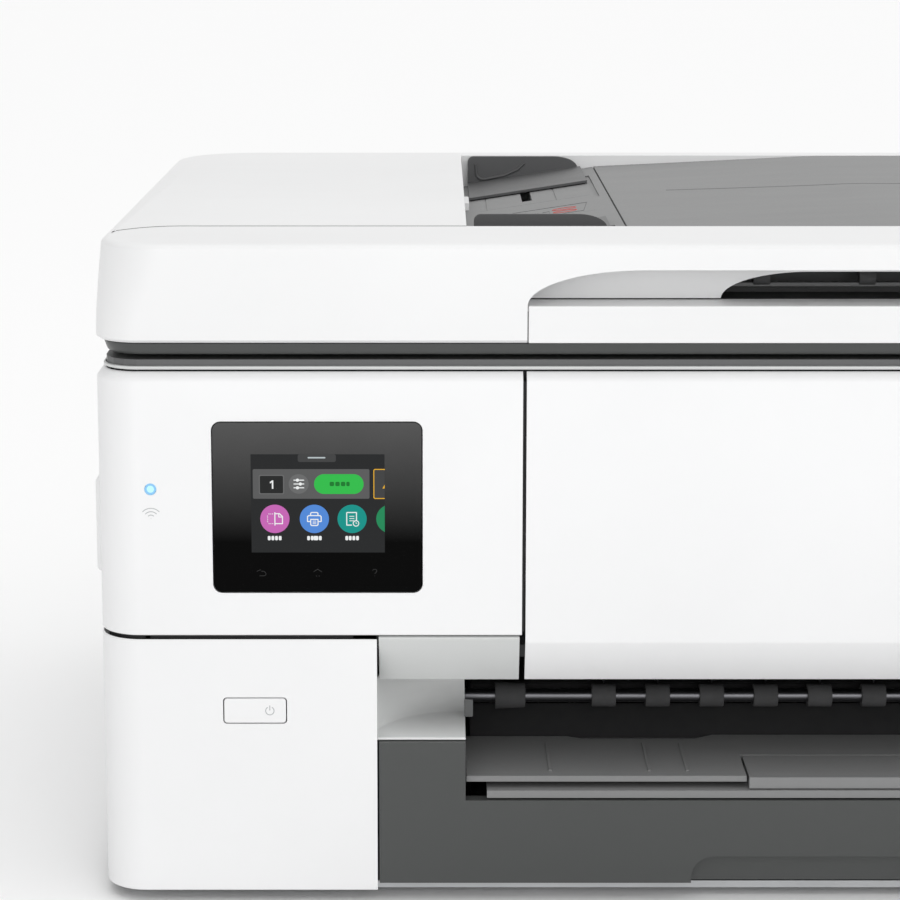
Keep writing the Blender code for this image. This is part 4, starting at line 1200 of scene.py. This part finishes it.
def makeTray():
    left, right, thick = -170.0, trayLook["rightX"] - 0.6, trayLook["thick"]
    section = [(left, trayZ(left) - thick), (right, trayZ(right) - thick), (right, trayZ(right)),
               (left, trayZ(left))]
    plate = prism("inputTray", section, "Y", tray.front, tray.back)
    unite(plate, *(slab("cheek", (-235, y, 246), (-150, y + 3, 265)) for y in (-125.6, 150.6)))
    slotX, half = trayLook["slotX"], trayLook["slotHalf"]
    tools = [slab("slot", (slotX - half, y, 250), (slotX + half, y + 95, 290)) for y in (-91, 57)]
    tools += [trayCutter("groove", *trayLook["groove"], 0.8, *span) for span in ((34, 128), (-128, -80))]
    for x in (-126.5, -92.0):  # paper-size marks
        for y0, y1 in ((44, 118), (-60, -18)):
            tools.append(slab("mark", (x - 0.25, y0, trayZ(x) - 0.35), (x + 0.25, y1, trayZ(x) + 5)))
    tools += [trayCutter("mark", -130, -76, 0.3, y - 0.2, y + 0.2) for y in (43.5, -17.5)]
    settle(cut(plate, *tools), "trayPlastic", "scan_lid", "input_tray", edge=0.2, sharp=40)
    floor = slab("slotFloor", (-112, -100, 252), (-100, 156, 254))
    settle(floor, "pitchPlastic", "scan_lid")
    makeTrayMarks()
    block = slab("feedStop", (-137.6, 56, 262), (-135.1, 84, 266.2))
    settle(block, "lidPlastic", "scan_lid", edge=0.5)


def trayLine(name, outline, radius, finish):
    settle(wire(name, onTray(outline), radius, cyclic=True), finish, "scan_lid")


def makeTrayMarks():
    # a plain loading mark: a thin frame, small sheets and two loops
    low, high = -13.0, 16.0
    trayLine("trayFrame", [(-128.0, low), (-81.5, low), (-78.5, high), (-128.0, high)], 0.16, "engraving")
    for i in range(4):
        x = -116.0 + i * 5.2
        sheet = [(x, -6.0), (x + 3.2, -6.0), (x + 3.2, 1.5), (x, 1.5)]
        trayLine("traySheet_" + str(i), sheet, 0.14, "engraving")
    for i, y in enumerate((4.5, -5.5)):
        trayLine("trayLoop_" + str(i), arc(-90.0, y, 5.6, 3.2, 0, 345, 23), 0.2, "redInk")


flapLook = {"thick": 2.5, "bendX": 53.0, "grooveX": 90.0, "grooveReach": 128.0, "grooveY": 28, "grooveBow": 11,
            "grooveHalf": 1.2, "grooveDeep": 1.1}


def makeFlap():
    # a flat tray part that bends down at its left, with one long curved groove
    front, back, rise, bend = flap.front, flap.back, flap.high, flapLook["bendX"]
    top = [(flap.left, trayZ(flap.left) + 0.2), (bend - 14, rise - 0.75), (bend - 6, rise - 0.25),
           (bend + 4, rise), (flap.right, rise)]
    plate = prism("inputFlap", [(x, z - flapLook["thick"]) for x, z in top] + top[::-1], "Y", front, back)
    reach, middle, half = flapLook["grooveReach"], flapLook["grooveX"], flapLook["grooveHalf"]
    bow = [(middle + reach * i / 14, flapLook["grooveY"] + flapLook["grooveBow"] * (i / 14) ** 2)
           for i in range(-14, 15)]
    outline = [(x, y + half) for x, y in bow] + [(x, y - half) for x, y in bow[::-1]]
    tool = prism("curvedGroove", outline, "Z", 260, 300)
    below = [(x, z - flapLook["grooveDeep"]) for x, z in top] + [(flap.right, 250), (flap.left, 250)]
    cut(tool, prism("lowerBody", below, "Y", front - 5, back + 5))
    settle(cut(plate, tool), "trayPlastic", "input_flap", "input_flap", edge=0.3, sharp=12)


guideLook = {"left": -134.7, "right": -75.6, "corner": 13.0, "thick": 2.4}


def makeGuides():
    left, right, corner = guideLook["left"], guideLook["right"], guideLook["corner"]
    high, footRight, half = lid.high, right + 1.6, guideLook["thick"] / 2
    side = [(left, trayZ(left) + 0.5), (right, trayZ(right) + 0.5)]
    side += arc(right - corner, high - 6.0, corner, 6.0, 0, 90, 14) + arc(left + 3, high - 3, 3, 3, 90, 180, 6)
    foot = [(left, trayZ(left) + 0.5), (footRight, trayZ(footRight) + 0.5), (footRight, trayZ(footRight) + 1.9),
            (left, trayZ(left) + 1.9)]
    ridge = [(left + 4.2, high - 4.0), (left + 4.6, high - 8.0),
             *arc(left + 8.6, high - 9.0, 4.0, 3.4, 180, 285, 10),
             (left + 20, high - 10.2), (left + 27, high - 7.0), (left + 30.5, high - 3.6)]
    for where, towards in (("rear", -1), ("front", 1)):
        node, box = where + "_guide", Place(where + "_guide")
        wallY = box.back - 1.2 if towards < 0 else box.front + 1.2
        wall = prism(where + "Guide", side, "Y", wallY - half, wallY + half)
        reach = box.back - box.front - 1.2
        unite(wall, prism("foot", foot, "Y", *sorted((wallY, wallY + towards * reach))))
        settle(wall, "guidePlastic", node, node, edge=0.5, steps=4, sharp=35)
        y = wallY + towards * (half + 0.1)
        bead = wire(where + "GuideRidge", [(x, y, z) for x, z in ridge], 0.75)
        settle(bead, "guidePlastic", node, sharp=60)


makeLidShell()
makeFeederCover()
makeCoverGasket()
makeFrontPanel()
makeScoop()
makeSkirtAndBezel()
makeTray()
makeFlap()
makeGuides()
print("lid and feeder made")

# stage: floor, light and camera

stageLook = {"floor": rgb(0.93), "floorRough": 0.8, "floorSize": 60.0}


def makeStage():
    form = bmesh.new()
    bmesh.ops.create_grid(form, x_segments=8, y_segments=8, size=stageLook["floorSize"] / 2)
    mesh = bpy.data.meshes.new("floor")
    form.to_mesh(mesh)
    form.free()
    floor = bpy.data.objects.new("floor", mesh)
    scene.collection.objects.link(floor)
    paint = Finish("floorPaint", {"Roughness": stageLook["floorRough"], "Base Color": stageLook["floor"],
                                  "Specular IOR Level": 0.2})
    mesh.materials.append(paint.material)


lightLooks = (
    {"name": "frontBox", "at": (0.1, -3.2, 0.9), "aim": (0, 0, 0.12), "size": (3.0, 1.4), "power": 19.6},
    {"name": "rightBox", "at": (2.6, -0.8, 1.2), "aim": (0, 0, 0.15), "size": (1.2, 1.6), "power": 1.5},
)


def makeLights():
    for look in lightLooks:
        light = bpy.data.lights.new(look["name"], "AREA")
        light.shape = "RECTANGLE"
        light.size, light.size_y = look["size"]
        light.energy = look["power"]
        holder = bpy.data.objects.new(look["name"], light)
        scene.collection.objects.link(holder)
        holder.location = look["at"]
        holder.rotation_euler = (Vector(look["aim"]) - Vector(look["at"])).to_track_quat("-Z", "Y").to_euler()


skyLook = {"strength": 1.29, "horizon": 0.50, "zenith": 1.0, "leftDim": 0.40, "band": 0.745, "bandTop": 0.15,
           "bandFade": 0.10}


def makeSky():
    # brightest overhead and dimmer to the left; a pale band at the horizon carries the floor into the backdrop
    world = bpy.data.worlds.new("studio")
    world.use_nodes = True
    scene.world = world
    sky = Graph(world.node_tree)
    way = sky.node("ShaderNodeTexCoord", output="Generated")
    height = sky.along("Z", way)
    stops = ((0.0, rgb(skyLook["horizon"])), (0.7, rgb(skyLook["zenith"])))
    tone = sky.node("ShaderNodeValToRGB", {"stops": stops}, {0: height})
    dimming = sky.node("ShaderNodeMapRange", None,
                       {"Value": sky.along("X", way), "From Min": -1.0, "From Max": 0.1,
                        "To Min": skyLook["leftDim"], "To Max": 1.0})
    fade = sky.node("ShaderNodeMapRange", None,
                    {"Value": height, "From Min": skyLook["bandTop"],
                     "From Max": skyLook["bandTop"] + skyLook["bandFade"]})
    light = sky.mix(fade, rgb(skyLook["band"]), sky.mix(1.0, tone, dimming, "MULTIPLY"))
    ground = world.node_tree.nodes["Background"]
    ground.inputs["Strength"].default_value = skyLook["strength"]
    world.node_tree.links.new(light.socket, ground.inputs["Color"])


cameraLook = {"at": (-0.1497, -1.235, 0.4184), "pitch": 9.8, "lens": 103.6, "shift": (0.0111, -0.12)}


def makeCamera():
    view = bpy.data.cameras.new("camera")
    view.lens = cameraLook["lens"]
    view.sensor_width = 36.0
    view.shift_x, view.shift_y = cameraLook["shift"]
    holder = bpy.data.objects.new("camera", view)
    scene.collection.objects.link(holder)
    holder.location = cameraLook["at"]
    holder.rotation_euler = (math.radians(90 - cameraLook["pitch"]), 0.0, 0.0)
    scene.camera = holder
    scene.view_settings.view_transform = "Standard"


makeStage()
makeLights()
makeSky()
makeCamera()
print("stage made")
